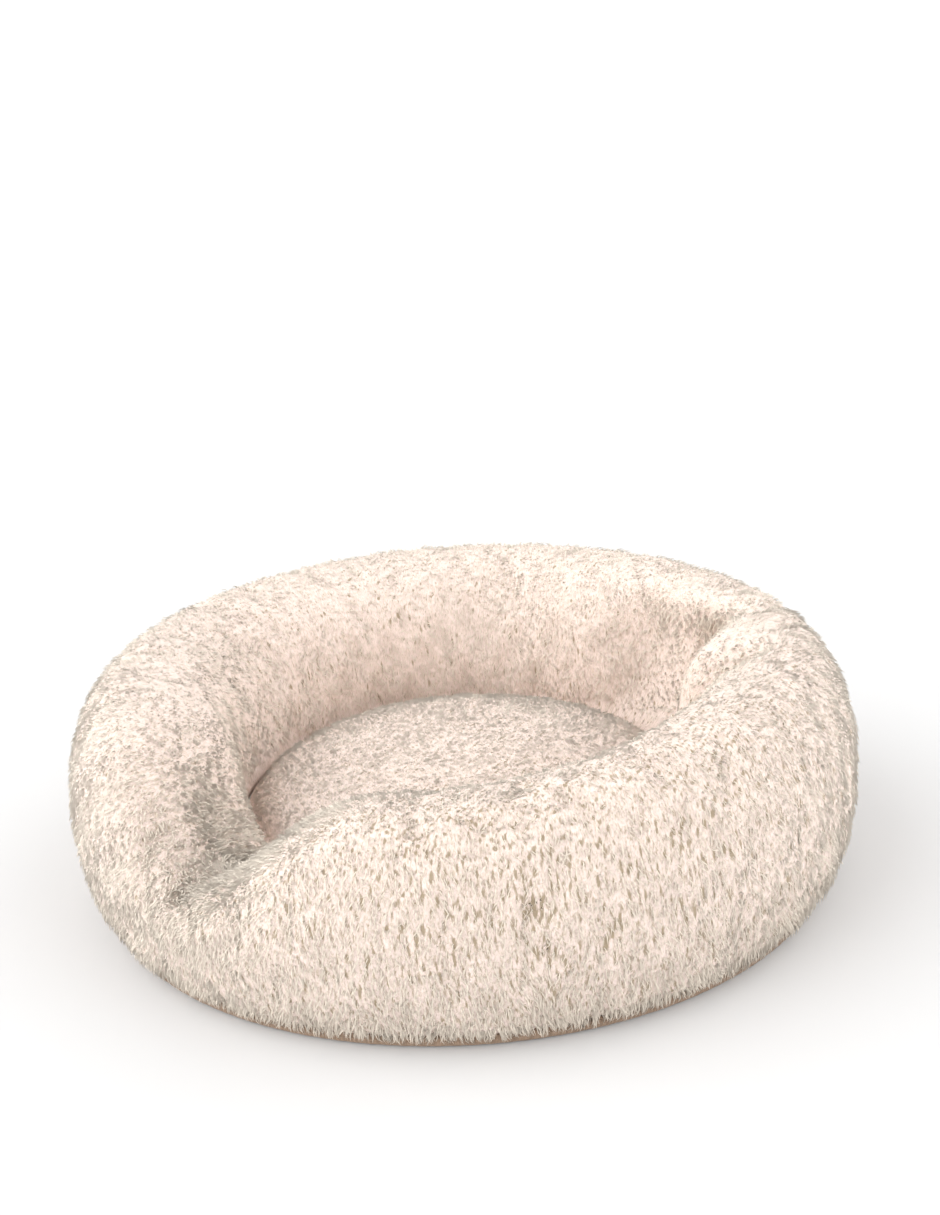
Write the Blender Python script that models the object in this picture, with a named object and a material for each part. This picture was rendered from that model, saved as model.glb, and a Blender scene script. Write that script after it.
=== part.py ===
"""A round pet bed: a stuffed ring-shaped rim around a stuffed cushion, both in long-pile fur.

The bed stands on the floor at z = 0 with its axis on +Z. The front of the bed faces -Y.
All lengths are in metres. The fur panels are solids as thick as their backing and pile.
"""

import math

import bmesh
import bpy
from mathutils import Vector

# The whole bed, over the tips of the pile
OUTER_RADIUS = 0.300
RIM_HEIGHT = 0.178
WELL_RADIUS = 0.170

# The rim's round section: the core is the middle of the tube, the keel is what the floor cuts off
CORE_RADIUS = 0.243
CORE_HEIGHT = 0.083
KEEL_DEPTH = 0.0055
SECTION_SQUARENESS_SHARE = 2.2

# The cloth pieces
PILE_THICKNESS = 0.012
BASE_THICKNESS = 0.005
HEM_WIDTH = 0.005
HEM_HEIGHT = 0.008
HEM_SETBACK = 0.0015
WALL_THICKNESS = 0.0012
TAPE_WIDTH = 0.015
TAPE_HEIGHT = 0.005

# The inner seam and the cushion
SEAM_HEIGHT = 0.052
CROWN_HEIGHT = 0.099
CUSHION_SETBACK = 0.001
CUSHION_SQUARENESS_SHARE = 2.3
CUSHION_PILE = 0.011

# Gaps between neighbours
CLEARANCE = 0.0003
FILL_CLEARANCE = 0.0050

# How the stuffing of the rim has settled. Each row is an azimuth in degrees, a half width in degrees
# and a share of the full depth: dips reach right across the crest, folds are creases of the well's
# side, lobes swell into the well, and pockets hollow the well's side halfway up. A negative share
# swells, fills or recedes instead
DIP_DEPTH = 0.080
DIP_SHARES = (
    (-134.0, 17.0, 1.04),
    (-98.0, 24.0, 0.16),
    (-38.0, 28.0, -0.10),
)
FOLD_DEPTH = 0.018
FOLD_PINCH = 0.022
FOLD_SHARES = (
    (-7.0, 7.0, 1.20),
    (15.0, 6.0, 1.00),
    (-141.0, 15.0, 1.35),
    (78.0, 12.0, 0.40),
    (152.0, 13.0, 0.45),
    (-66.0, 14.0, 0.25),
)
LOBE_DEPTH = 0.024
LOBE_SHARES = (
    (1.0, 7.0, 0.95),
    (50.0, 16.0, -0.20),
    (118.0, 20.0, 0.35),
    (-168.0, 20.0, 0.30),
    (-95.0, 24.0, 0.20),
)
POCKET_DEPTH = 0.040
POCKET_SHARES = (
    (20.0, 7.0, 0.90),
    (34.0, 13.0, 0.80),
)
CREST_SIDE_SHARE = 0.10
HALFWAY_SHARE = 0.25
SETTLE_LIFT_SHARE = 1.2

# Soft mounds and hollows of the cushion: (x share, y share, radius share) of the cushion's radius
# and the height as a share of the swell
CUSHION_SWELL = 0.005
CUSHION_FORM_SHARES = (
    (0.30, 0.10, 0.50, 1.00),
    (-0.50, -0.45, 0.42, -1.00),
    (-0.25, 0.50, 0.36, 0.55),
    (0.35, -0.60, 0.34, -0.70),
)

# The filling zip in the base
SLOT_LENGTH = 0.262
SLOT_WIDTH = 0.012
ZIP_TAPE_WIDTH = 0.0125
ZIP_TAPE_THICKNESS = 0.0006
ZIP_TAPE_OVERRUN = 0.009
CHAIN_WIDTH = 0.0020
CHAIN_THICKNESS = 0.0018
CHAIN_PARTING = 0.0012
STOP_LENGTH = 0.003
ZIP_END_MARGIN = 0.0025

# The slider and its bail
SLIDER_LENGTH = 0.011
SLIDER_WIDTH = 0.009
SLIDER_REAR_WIDTH = 0.0078
SLIDER_PLATE = 0.0010
SLIDER_LIP_WIDTH = 0.0008
WEDGE_THICKNESS = 0.0006
WEDGE_LENGTH = 0.003
BAIL_LENGTH = 0.0064
BAIL_WIDTH = 0.0024
BAIL_BAR = 0.0010
BAIL_POST = 0.0012
BAIL_OPENING = 0.0018

# The puller that hangs on the bail
PULLER_LENGTH = 0.018
PULLER_WIDTH = 0.0072
PULLER_NECK_WIDTH = 0.0060
PULLER_THICKNESS = 0.0010
PULLER_BAR = 0.0010
PULLER_EYE_LENGTH = 0.0038
PULLER_GRIP_RADIUS = 0.0013
PULLER_SETBACK = 0.0010

# How finely the round pieces are faceted, and the corner that stays sharp on them
AROUND = 48
OUTER_SPANS = 15
INNER_SPANS = 9
CUSHION_SPANS = 8
CUSHION_INNER_SPANS = 6
CURVE_SPANS = 10
BEVEL_SEGMENTS = 2
SHARP_DEGREES = 40.0
CUT_OVERRUN = 0.004
MERGE_DISTANCE = 0.00001

# Heights that follow from the stack: base cloth, zip and filling
FILL_FLOOR = BASE_THICKNESS + CLEARANCE
FOOT_HEIGHT = HEM_HEIGHT + CLEARANCE
ZIP_TAPE_BOTTOM = BASE_THICKNESS + CLEARANCE
ZIP_MIDDLE = ZIP_TAPE_BOTTOM + ZIP_TAPE_THICKNESS / 2
PLATE_GAP = CHAIN_THICKNESS / 2 + CLEARANCE
SLIDER_TOP = ZIP_MIDDLE + PLATE_GAP + SLIDER_PLATE
SLIDER_BOTTOM = ZIP_MIDDLE - PLATE_GAP - SLIDER_PLATE
BAR_HEIGHT = SLIDER_BOTTOM - BAIL_OPENING / 2

# Places along the zip
BAR_TO_REAR = SLIDER_LENGTH / 2 - PULLER_SETBACK
CHAIN_START = -SLOT_LENGTH / 2 + ZIP_END_MARGIN + PULLER_LENGTH - BAR_TO_REAR
CHAIN_END = SLOT_LENGTH / 2 - ZIP_END_MARGIN - STOP_LENGTH - CLEARANCE
SLIDER_REST = CHAIN_END - SLIDER_LENGTH / 2 - CLEARANCE
BAR_REST = SLIDER_REST - PULLER_SETBACK

# Finishes: base colour, roughness, metallic
FINISHES = {
    "cream_fur": ((0.86, 0.765, 0.650), 0.95, 0.0),
    "cushion_fur": ((0.84, 0.750, 0.640), 0.95, 0.0),
    "fibre_fill": ((0.80, 0.80, 0.78), 0.90, 0.0),
    "taupe_cloth": ((0.33, 0.235, 0.165), 0.85, 0.0),
    "taupe_binding": ((0.36, 0.250, 0.175), 0.80, 0.0),
    "lining_cloth": ((0.70, 0.66, 0.60), 0.90, 0.0),
    "zip_tape": ((0.42, 0.330, 0.250), 0.80, 0.0),
    "zip_coil": ((0.46, 0.370, 0.285), 0.45, 0.0),
    "zip_metal": ((0.62, 0.58, 0.52), 0.30, 1.0),
}


def clear_scene():
    """Remove whatever objects the open file holds."""
    for thing in list(bpy.data.objects):
        bpy.data.objects.remove(thing, do_unlink=True)


def finish(name):
    """The named Principled material, made once."""
    material = bpy.data.materials.get(name)
    if material is None:
        colour, roughness, metallic = FINISHES[name]
        material = bpy.data.materials.new(name)
        material.use_nodes = True
        shader = material.node_tree.nodes["Principled BSDF"]
        shader.inputs["Base Color"].default_value = (*colour, 1.0)
        shader.inputs["Roughness"].default_value = roughness
        shader.inputs["Metallic"].default_value = metallic
        material.diffuse_color = (*colour, 1.0)
    return material


def add_piece(name, bm, finish_name, origin=(0.0, 0.0, 0.0), smooth=True):
    """Turn a bmesh in world coordinates into a named object whose origin is given."""
    bmesh.ops.recalc_face_normals(bm, faces=bm.faces)
    bmesh.ops.translate(bm, vec=-Vector(origin), verts=bm.verts)
    mesh = bpy.data.meshes.new(name)
    bm.to_mesh(mesh)
    bm.free()
    if smooth:
        mesh.shade_smooth()
        mesh.set_sharp_from_angle(angle=math.radians(SHARP_DEGREES))
    piece = bpy.data.objects.new(name, mesh)
    piece.location = origin
    piece.data.materials.append(finish(finish_name))
    bpy.context.scene.collection.objects.link(piece)
    return piece


def apply_boolean(piece, tool, operation):
    """A Boolean modifier on piece; a cutter is kept as a wire guide."""
    modifier = piece.modifiers.new(operation.title(), "BOOLEAN")
    modifier.operation = operation
    modifier.object = tool
    modifier.solver = "EXACT"
    tool.hide_render = True
    tool.display_type = "WIRE"


def box_mesh(low, high):
    """A box between two corners."""
    bm = bmesh.new()
    bmesh.ops.create_cube(bm, size=1.0)
    size = Vector(high) - Vector(low)
    bmesh.ops.scale(bm, vec=size, verts=bm.verts)
    bmesh.ops.translate(bm, vec=(Vector(high) + Vector(low)) / 2, verts=bm.verts)
    return bm


def plate_mesh(outline, bottom, top):
    """An outline of (x, y) points as a plate between two heights."""
    bm = bmesh.new()
    face = bm.faces.new([bm.verts.new((x, y, bottom)) for x, y in outline])
    raised = bmesh.ops.extrude_face_region(bm, geom=[face])
    moved = [item for item in raised["geom"] if isinstance(item, bmesh.types.BMVert)]
    bmesh.ops.translate(bm, vec=(0.0, 0.0, top - bottom), verts=moved)
    return bm


def turned_mesh(outline, closed=True):
    """A section of (radius, height) points spun once around the bed's axis."""
    bm = bmesh.new()
    verts = [bm.verts.new((radius, 0.0, height)) for radius, height in outline]
    edges = [bm.edges.new(pair) for pair in zip(verts, verts[1:])]
    if closed:
        edges.append(bm.edges.new((verts[-1], verts[0])))
    bmesh.ops.spin(
        bm,
        geom=verts + edges,
        cent=(0.0, 0.0, 0.0),
        axis=(0.0, 0.0, 1.0),
        angle=math.tau,
        steps=AROUND,
        use_merge=True,
    )
    bmesh.ops.remove_doubles(bm, verts=bm.verts, dist=MERGE_DISTANCE)
    return bm


def smoothstep(share):
    """0 below 0, 1 above 1, and an S-shaped rise between."""
    share = min(max(share, 0.0), 1.0)
    return share * share * (3.0 - 2.0 * share)


def bell(offset_share):
    """A bell curve: 1 in the middle, near 0 beyond twice the half width."""
    return math.exp(-offset_share * offset_share)


def azimuth_offset(azimuth, centre):
    """The signed angle from centre to azimuth in degrees, from -180 to 180."""
    return (azimuth - centre + 180.0) % 360.0 - 180.0


def around_rim(azimuth, rows):
    """The sum of the bells that rows of (azimuth, half width, share) put around the rim."""
    return sum(
        share * bell(azimuth_offset(azimuth, centre) / half_width)
        for centre, half_width, share in rows
    )


def rim_settle(point):
    """Where the stuffed rim carries a point of its plain turned form.

    Above the inner seam the rim drops by its dips. On the side of the well it also drops and
    draws back at its folds, swells forward at its lobes, and recedes at its pockets, which are
    deepest halfway from the seam to the crest.
    """
    x, y, z = point
    radius = math.hypot(x, y)
    azimuth = math.degrees(math.atan2(y, x))
    rise = min(max((z - SEAM_HEIGHT) / (RIM_HEIGHT - SEAM_HEIGHT), 0.0), 1.0)
    lift = rise ** SETTLE_LIFT_SHARE
    inwardness = (CORE_RADIUS - radius) / (CORE_RADIUS - WELL_RADIUS)
    well_side = smoothstep(inwardness + CREST_SIDE_SHARE)
    fold = around_rim(azimuth, FOLD_SHARES) * lift * well_side
    lobe = around_rim(azimuth, LOBE_SHARES) * lift * well_side
    pocket = around_rim(azimuth, POCKET_SHARES) * rise * (1.0 - rise) / HALFWAY_SHARE * well_side
    drop = DIP_DEPTH * around_rim(azimuth, DIP_SHARES) * lift + FOLD_DEPTH * fold
    shift = FOLD_PINCH * fold - LOBE_DEPTH * lobe + POCKET_DEPTH * pocket
    scale = (radius + shift) / radius
    return Vector((x * scale, y * scale, z - drop))


def cushion_settle(point):
    """Where the stuffed cushion carries a point of its plain crowned form."""
    x, y, z = point
    swell = sum(
        height * bell(math.hypot(x / CUSHION_RADIUS - ax, y / CUSHION_RADIUS - ay) / width)
        for ax, ay, width, height in CUSHION_FORM_SHARES
    )
    lift = smoothstep((z - SEAM_HEIGHT) / (CROWN_HEIGHT - SEAM_HEIGHT))
    return Vector((x, y, z + CUSHION_SWELL * swell * lift))


def settle(bm, rule):
    """Carry every vertex by the rule and split the bent quads along their shorter diagonal."""
    for vert in bm.verts:
        vert.co = rule(vert.co)
    bmesh.ops.triangulate(bm, faces=bm.faces, quad_method="SHORT_EDGE")


def superellipse(angle, squareness):
    """The unit point at an angle on a superellipse of the given squareness."""
    power = 2.0 / squareness
    across = math.copysign(abs(math.cos(angle)) ** power, math.cos(angle))
    up = math.copysign(abs(math.sin(angle)) ** power, math.sin(angle))
    return across, up


def rim_reach(inset):
    """The rim section's half axes outward, inward, upward and downward, drawn in by inset."""
    outward = OUTER_RADIUS - CORE_RADIUS - inset
    inward = CORE_RADIUS - WELL_RADIUS - inset
    upward = RIM_HEIGHT - CORE_HEIGHT - inset
    downward = CORE_HEIGHT + KEEL_DEPTH
    return outward, inward, upward, downward


def rim_point(angle, inset):
    """A point (radius, height) of the rim's section, 0 at the widest and a quarter turn at the crest."""
    outward, inward, upward, downward = rim_reach(inset)
    across, up = superellipse(angle, SECTION_SQUARENESS_SHARE)
    radius = CORE_RADIUS + across * (outward if across > 0.0 else inward)
    height = CORE_HEIGHT + up * (upward if up > 0.0 else downward)
    return radius, height


def angle_below_core(height):
    """How far below the level of the core the section reaches a height, as an angle."""
    drop_share = (CORE_HEIGHT - height) / (CORE_HEIGHT + KEEL_DEPTH)
    return math.asin(drop_share ** (SECTION_SQUARENESS_SHARE / 2.0))


def rim_path(inset, foot_height, seam_height, spans):
    """Section points from the foot of the outer wall over the crest to the inner seam."""
    start = -angle_below_core(foot_height)
    end = math.pi + angle_below_core(seam_height)
    return [rim_point(start + (end - start) * i / spans, inset) for i in range(spans + 1)]


CUSHION_RADIUS = WELL_RADIUS - CUSHION_SETBACK
SEAM_RADIUS = rim_point(math.pi + angle_below_core(SEAM_HEIGHT), 0.0)[0]
FOOT_RADIUS = rim_point(-angle_below_core(FOOT_HEIGHT), 0.0)[0]
HEM_OUTER = FOOT_RADIUS - HEM_SETBACK
HEM_INNER = HEM_OUTER - HEM_WIDTH
BASE_RADIUS = HEM_INNER - CLEARANCE
WALL_RADIUS = SEAM_RADIUS + CLEARANCE
TAPE_TOP = SEAM_HEIGHT - CLEARANCE
WALL_TOP = TAPE_TOP - TAPE_HEIGHT - CLEARANCE


def cushion_path(edge_radius, crown, spans):
    """Section points of a crowned cushion from the seam to the pole."""
    points = []
    for i in range(spans + 1):
        across, up = superellipse(math.pi / 2 * i / spans, CUSHION_SQUARENESS_SHARE)
        points.append((edge_radius * across, SEAM_HEIGHT + (crown - SEAM_HEIGHT) * up))
    points[-1] = (0.0, crown)
    return points


def rounded_section(inner, outer, bottom, top):
    """A band's section with its four corners cut at a quarter of its shorter side."""
    cut = min(outer - inner, top - bottom) / 4
    return [
        (inner + cut, bottom),
        (outer - cut, bottom),
        (outer, bottom + cut),
        (outer, top - cut),
        (outer - cut, top),
        (inner + cut, top),
        (inner, top - cut),
        (inner, bottom + cut),
    ]


def make_bolster_cover():
    """The fur panel over the rim, open underneath where the base cloth closes it."""
    outside = rim_path(0.0, FOOT_HEIGHT, SEAM_HEIGHT, OUTER_SPANS)
    inside = rim_path(PILE_THICKNESS, FOOT_HEIGHT, SEAM_HEIGHT, INNER_SPANS)
    bm = turned_mesh(outside + inside[::-1])
    settle(bm, rim_settle)
    return add_piece("bolster_cover", bm, "cream_fur")


def make_bolster_filling():
    """The ring of fibre that fills the rim, flat where it lies on the base cloth."""
    inset = PILE_THICKNESS + FILL_CLEARANCE
    outline = rim_path(inset, FILL_FLOOR, SEAM_HEIGHT, INNER_SPANS)
    wall_side = WALL_RADIUS + WALL_THICKNESS + CLEARANCE
    tape_side = SEAM_RADIUS + TAPE_WIDTH / 2 + CLEARANCE
    under_tape = WALL_TOP - CLEARANCE
    outline[-1] = (max(outline[-1][0], tape_side), SEAM_HEIGHT)
    outline.append((tape_side, under_tape))
    outline.append((wall_side, under_tape - (tape_side - wall_side)))
    outline.append((wall_side, FILL_FLOOR))
    bm = turned_mesh(outline)
    settle(bm, rim_settle)
    return add_piece("bolster_filling", bm, "fibre_fill")


def make_cushion_cover():
    """The fur panel over the cushion, crowned and drawn in at the inner seam."""
    outside = cushion_path(CUSHION_RADIUS, CROWN_HEIGHT, CUSHION_SPANS)
    inner_radius = CUSHION_RADIUS - CUSHION_PILE
    inside = cushion_path(inner_radius, CROWN_HEIGHT - CUSHION_PILE, CUSHION_INNER_SPANS)
    bm = turned_mesh(inside[::-1] + outside, closed=False)
    settle(bm, cushion_settle)
    return add_piece("cushion_cover", bm, "cushion_fur")


def make_cushion_filling():
    """The round pad of fibre under the cushion's fur, with a groove where it gives way to the zip."""
    crown = CROWN_HEIGHT - CUSHION_PILE - FILL_CLEARANCE
    radius = CUSHION_RADIUS - CUSHION_PILE - FILL_CLEARANCE
    outline = cushion_path(radius, crown, CUSHION_INNER_SPANS)
    tape_side = SEAM_RADIUS - TAPE_WIDTH / 2 - CLEARANCE
    wall_side = WALL_RADIUS - CLEARANCE
    side = min(radius, tape_side)
    under_tape = WALL_TOP - CLEARANCE
    outline[0] = (side, SEAM_HEIGHT)
    below = [
        (0.0, FILL_FLOOR),
        (wall_side, FILL_FLOOR),
        (wall_side, under_tape - (wall_side - side)),
        (side, under_tape),
    ]
    bm = turned_mesh(below + outline, closed=False)
    settle(bm, cushion_settle)
    pad = add_piece("cushion_filling", bm, "fibre_fill")
    half_length = SLOT_LENGTH / 2 + ZIP_TAPE_OVERRUN + CLEARANCE
    half_width = CHAIN_PARTING / 2 + CHAIN_WIDTH + ZIP_TAPE_WIDTH + 2 * CLEARANCE
    groove = add_piece(
        "zip_groove_cutter",
        box_mesh(
            (-half_length, -half_width, FILL_FLOOR - CUT_OVERRUN),
            (half_length, half_width, SLIDER_TOP + CLEARANCE),
        ),
        "fibre_fill",
        smooth=False,
    )
    apply_boolean(pad, groove, "DIFFERENCE")
    return pad


def make_chamber_wall():
    """The upright cloth band that ties the inner seam to the base cloth."""
    outer = WALL_RADIUS + WALL_THICKNESS
    outline = [
        (WALL_RADIUS, FILL_FLOOR),
        (outer, FILL_FLOOR),
        (outer, WALL_TOP),
        (WALL_RADIUS, WALL_TOP),
    ]
    return add_piece("chamber_wall", turned_mesh(outline), "lining_cloth")


def make_seam_tape():
    """The tape ring that carries the inner edges of both fur panels."""
    outline = rounded_section(
        SEAM_RADIUS - TAPE_WIDTH / 2,
        SEAM_RADIUS + TAPE_WIDTH / 2,
        TAPE_TOP - TAPE_HEIGHT,
        TAPE_TOP,
    )
    return add_piece("seam_tape", turned_mesh(outline), "lining_cloth")


def make_hem_binding():
    """The bound hem at the foot of the rim, around the base cloth."""
    outline = rounded_section(HEM_INNER, HEM_OUTER, 0.0, HEM_HEIGHT)
    return add_piece("hem_binding", turned_mesh(outline), "taupe_binding")


def slot_outline(half_length, half_width):
    """A slot with round ends, as (x, y) points."""
    points = []
    for side in (1.0, -1.0):
        for i in range(CURVE_SPANS + 1):
            angle = math.pi * (i / CURVE_SPANS - 0.5)
            x = half_length - half_width + half_width * math.cos(angle)
            points.append((side * x, side * half_width * math.sin(angle)))
    return points


def make_base_cloth():
    """The round base cloth with the slot that the zip closes."""
    outline = [(0.0, 0.0), (BASE_RADIUS, 0.0), (BASE_RADIUS, BASE_THICKNESS), (0.0, BASE_THICKNESS)]
    cloth = add_piece("base_cloth", turned_mesh(outline, closed=False), "taupe_cloth")
    slot = plate_mesh(
        slot_outline(SLOT_LENGTH / 2, SLOT_WIDTH / 2),
        -CUT_OVERRUN,
        BASE_THICKNESS + CUT_OVERRUN,
    )
    cutter = add_piece("slot_cutter", slot, "taupe_cloth", smooth=False)
    apply_boolean(cloth, cutter, "DIFFERENCE")
    return cloth


def make_zip_side(name, side):
    """One half of the zip, on the side of the given sign: its woven tape and its row of teeth."""
    chain_inner = CHAIN_PARTING / 2
    chain_outer = chain_inner + CHAIN_WIDTH
    tape_inner = chain_outer + CLEARANCE
    tape_outer = tape_inner + ZIP_TAPE_WIDTH
    reach = SLOT_LENGTH / 2 + ZIP_TAPE_OVERRUN
    tape_y = sorted((side * tape_inner, side * tape_outer))
    tape = box_mesh(
        (-reach, tape_y[0], ZIP_TAPE_BOTTOM),
        (reach, tape_y[1], ZIP_TAPE_BOTTOM + ZIP_TAPE_THICKNESS),
    )
    add_piece(f"zip_tape_{name}", tape, "zip_tape", smooth=False)
    chain_y = sorted((side * chain_inner, side * chain_outer))
    chain = box_mesh(
        (CHAIN_START, chain_y[0], ZIP_MIDDLE - CHAIN_THICKNESS / 2),
        (CHAIN_END, chain_y[1], ZIP_MIDDLE + CHAIN_THICKNESS / 2),
    )
    bmesh.ops.bevel(
        chain,
        geom=[edge for edge in chain.edges if edge.calc_length() > SLOT_LENGTH / 2],
        offset=CHAIN_THICKNESS / 4,
        segments=BEVEL_SEGMENTS,
        affect="EDGES",
        profile=0.5,
    )
    add_piece(f"zip_chain_{name}", chain, "zip_coil")
    stop = box_mesh(
        (CHAIN_END + CLEARANCE, chain_y[0], ZIP_MIDDLE - CHAIN_THICKNESS / 2),
        (CHAIN_END + CLEARANCE + STOP_LENGTH, chain_y[1], ZIP_MIDDLE + CHAIN_THICKNESS / 2),
    )
    add_piece(f"zip_top_stop_{name}", stop, "zip_metal", smooth=False)


def make_bottom_stop():
    """The block that joins both rows where the open zip ends."""
    half_width = CHAIN_PARTING / 2 + CHAIN_WIDTH
    block = box_mesh(
        (CHAIN_START - CLEARANCE - STOP_LENGTH, -half_width, ZIP_MIDDLE - CHAIN_THICKNESS / 2),
        (CHAIN_START - CLEARANCE, half_width, ZIP_MIDDLE + CHAIN_THICKNESS / 2),
    )
    return add_piece("zip_bottom_stop", block, "zip_metal", smooth=False)


def slider_outline(inset, overrun):
    """The slider's plan, wide at the mouth, drawn in at the sides by inset and longer by overrun."""
    front = SLIDER_REST + SLIDER_LENGTH / 2 + overrun
    rear = SLIDER_REST - SLIDER_LENGTH / 2 - overrun
    wide = SLIDER_WIDTH / 2 - inset
    narrow = SLIDER_REAR_WIDTH / 2 - inset
    return [(rear, -narrow), (front, -wide), (front, wide), (rear, narrow)]


def make_slider():
    """The slider: two lipped plates joined by the wedge at the mouth, and the bail underneath."""
    origin = (SLIDER_REST, 0.0, ZIP_MIDDLE)
    slider = add_piece(
        "zip_slider",
        plate_mesh(slider_outline(0.0, 0.0), SLIDER_BOTTOM, SLIDER_TOP),
        "zip_metal",
        origin,
        smooth=False,
    )
    track = add_piece(
        "slider_track_cutter",
        plate_mesh(
            slider_outline(SLIDER_LIP_WIDTH, CUT_OVERRUN),
            ZIP_MIDDLE - PLATE_GAP,
            ZIP_MIDDLE + PLATE_GAP,
        ),
        "zip_metal",
        smooth=False,
    )
    tape_gap = ZIP_TAPE_THICKNESS / 2 + CLEARANCE
    mouth = add_piece(
        "slider_tape_cutter",
        box_mesh(
            (SLIDER_REST - SLIDER_LENGTH, -SLIDER_WIDTH, ZIP_MIDDLE - tape_gap),
            (SLIDER_REST + SLIDER_LENGTH, SLIDER_WIDTH, ZIP_MIDDLE + tape_gap),
        ),
        "zip_metal",
        smooth=False,
    )
    front = SLIDER_REST + SLIDER_LENGTH / 2
    wedge = add_piece(
        "slider_wedge",
        box_mesh(
            (front - WEDGE_LENGTH, -WEDGE_THICKNESS / 2, ZIP_MIDDLE - PLATE_GAP - SLIDER_PLATE / 2),
            (front, WEDGE_THICKNESS / 2, ZIP_MIDDLE + PLATE_GAP + SLIDER_PLATE / 2),
        ),
        "zip_metal",
        smooth=False,
    )
    bail_low = SLIDER_BOTTOM - BAIL_OPENING - BAIL_BAR
    bail = add_piece(
        "slider_bail",
        box_mesh(
            (SLIDER_REST - BAIL_LENGTH / 2, -BAIL_WIDTH / 2, bail_low),
            (SLIDER_REST + BAIL_LENGTH / 2, BAIL_WIDTH / 2, SLIDER_BOTTOM + SLIDER_PLATE / 2),
        ),
        "zip_metal",
        smooth=False,
    )
    arch_half = BAIL_LENGTH / 2 - BAIL_POST
    arch = add_piece(
        "bail_arch_cutter",
        box_mesh(
            (SLIDER_REST - arch_half, -BAIL_WIDTH, SLIDER_BOTTOM - BAIL_OPENING),
            (SLIDER_REST + arch_half, BAIL_WIDTH, SLIDER_BOTTOM),
        ),
        "zip_metal",
        smooth=False,
    )
    apply_boolean(slider, track, "DIFFERENCE")
    apply_boolean(slider, mouth, "DIFFERENCE")
    apply_boolean(slider, wedge, "UNION")
    apply_boolean(slider, bail, "UNION")
    apply_boolean(slider, arch, "DIFFERENCE")
    return slider


def puller_outline():
    """The puller's plan: a straight eye end at the bar and a round tab end."""
    bar_edge = BAR_REST + PULLER_BAR / 2
    neck = PULLER_NECK_WIDTH / 2
    wide = PULLER_WIDTH / 2
    shoulder = BAR_REST - PULLER_EYE_LENGTH - PULLER_BAR
    tip_centre = BAR_REST - PULLER_LENGTH + wide
    points = [(bar_edge, -neck), (bar_edge, neck), (shoulder, neck)]
    for i in range(CURVE_SPANS + 1):
        angle = math.pi / 2 + math.pi * i / CURVE_SPANS
        points.append((tip_centre + wide * math.cos(angle), wide * math.sin(angle)))
    points.append((shoulder, -neck))
    return points


def make_puller():
    """The flat puller whose bar runs through the bail; its origin is on the hinge axis."""
    bottom = BAR_HEIGHT - PULLER_THICKNESS / 2
    top = BAR_HEIGHT + PULLER_THICKNESS / 2
    puller = add_piece(
        "zip_puller",
        plate_mesh(puller_outline(), bottom, top),
        "zip_metal",
        (BAR_REST, 0.0, BAR_HEIGHT),
        smooth=False,
    )
    eye_half = BAIL_WIDTH / 2 + CLEARANCE
    eye = add_piece(
        "puller_eye_cutter",
        box_mesh(
            (BAR_REST - PULLER_BAR / 2 - PULLER_EYE_LENGTH, -eye_half, bottom - CUT_OVERRUN),
            (BAR_REST - PULLER_BAR / 2, eye_half, top + CUT_OVERRUN),
        ),
        "zip_metal",
        smooth=False,
    )
    tip_centre = BAR_REST - PULLER_LENGTH + PULLER_WIDTH / 2
    grip_outline = [
        (
            tip_centre + PULLER_GRIP_RADIUS * math.cos(math.tau * i / CURVE_SPANS),
            PULLER_GRIP_RADIUS * math.sin(math.tau * i / CURVE_SPANS),
        )
        for i in range(CURVE_SPANS)
    ]
    grip = add_piece(
        "puller_grip_cutter",
        plate_mesh(grip_outline, bottom - CUT_OVERRUN, top + CUT_OVERRUN),
        "zip_metal",
        smooth=False,
    )
    apply_boolean(puller, eye, "DIFFERENCE")
    apply_boolean(puller, grip, "DIFFERENCE")
    return puller


def main():
    clear_scene()
    make_bolster_cover()
    make_bolster_filling()
    make_cushion_cover()
    make_cushion_filling()
    make_chamber_wall()
    make_seam_tape()
    make_hem_binding()
    make_base_cloth()
    make_zip_side("front", -1.0)
    make_zip_side("back", 1.0)
    make_bottom_stop()
    make_slider()
    make_puller()


main()
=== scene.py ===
"""A round plush pet bed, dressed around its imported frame: pile, cloth, stitching, zip and studio.

Lengths are in metres in the frame's own axes: the bed stands on z = 0 with its axis on +Z and its
front towards -Y. Every sheet of cloth is a grid of points worked out from two parameters, the
azimuth around the bed and the way along the section, and the pile is rooted on those grids.
"""

import math

import bmesh
import bpy
import numpy as np
from bpy.props import FloatProperty, FloatVectorProperty, IntProperty, PointerProperty
from mathutils import Matrix, Vector


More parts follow.
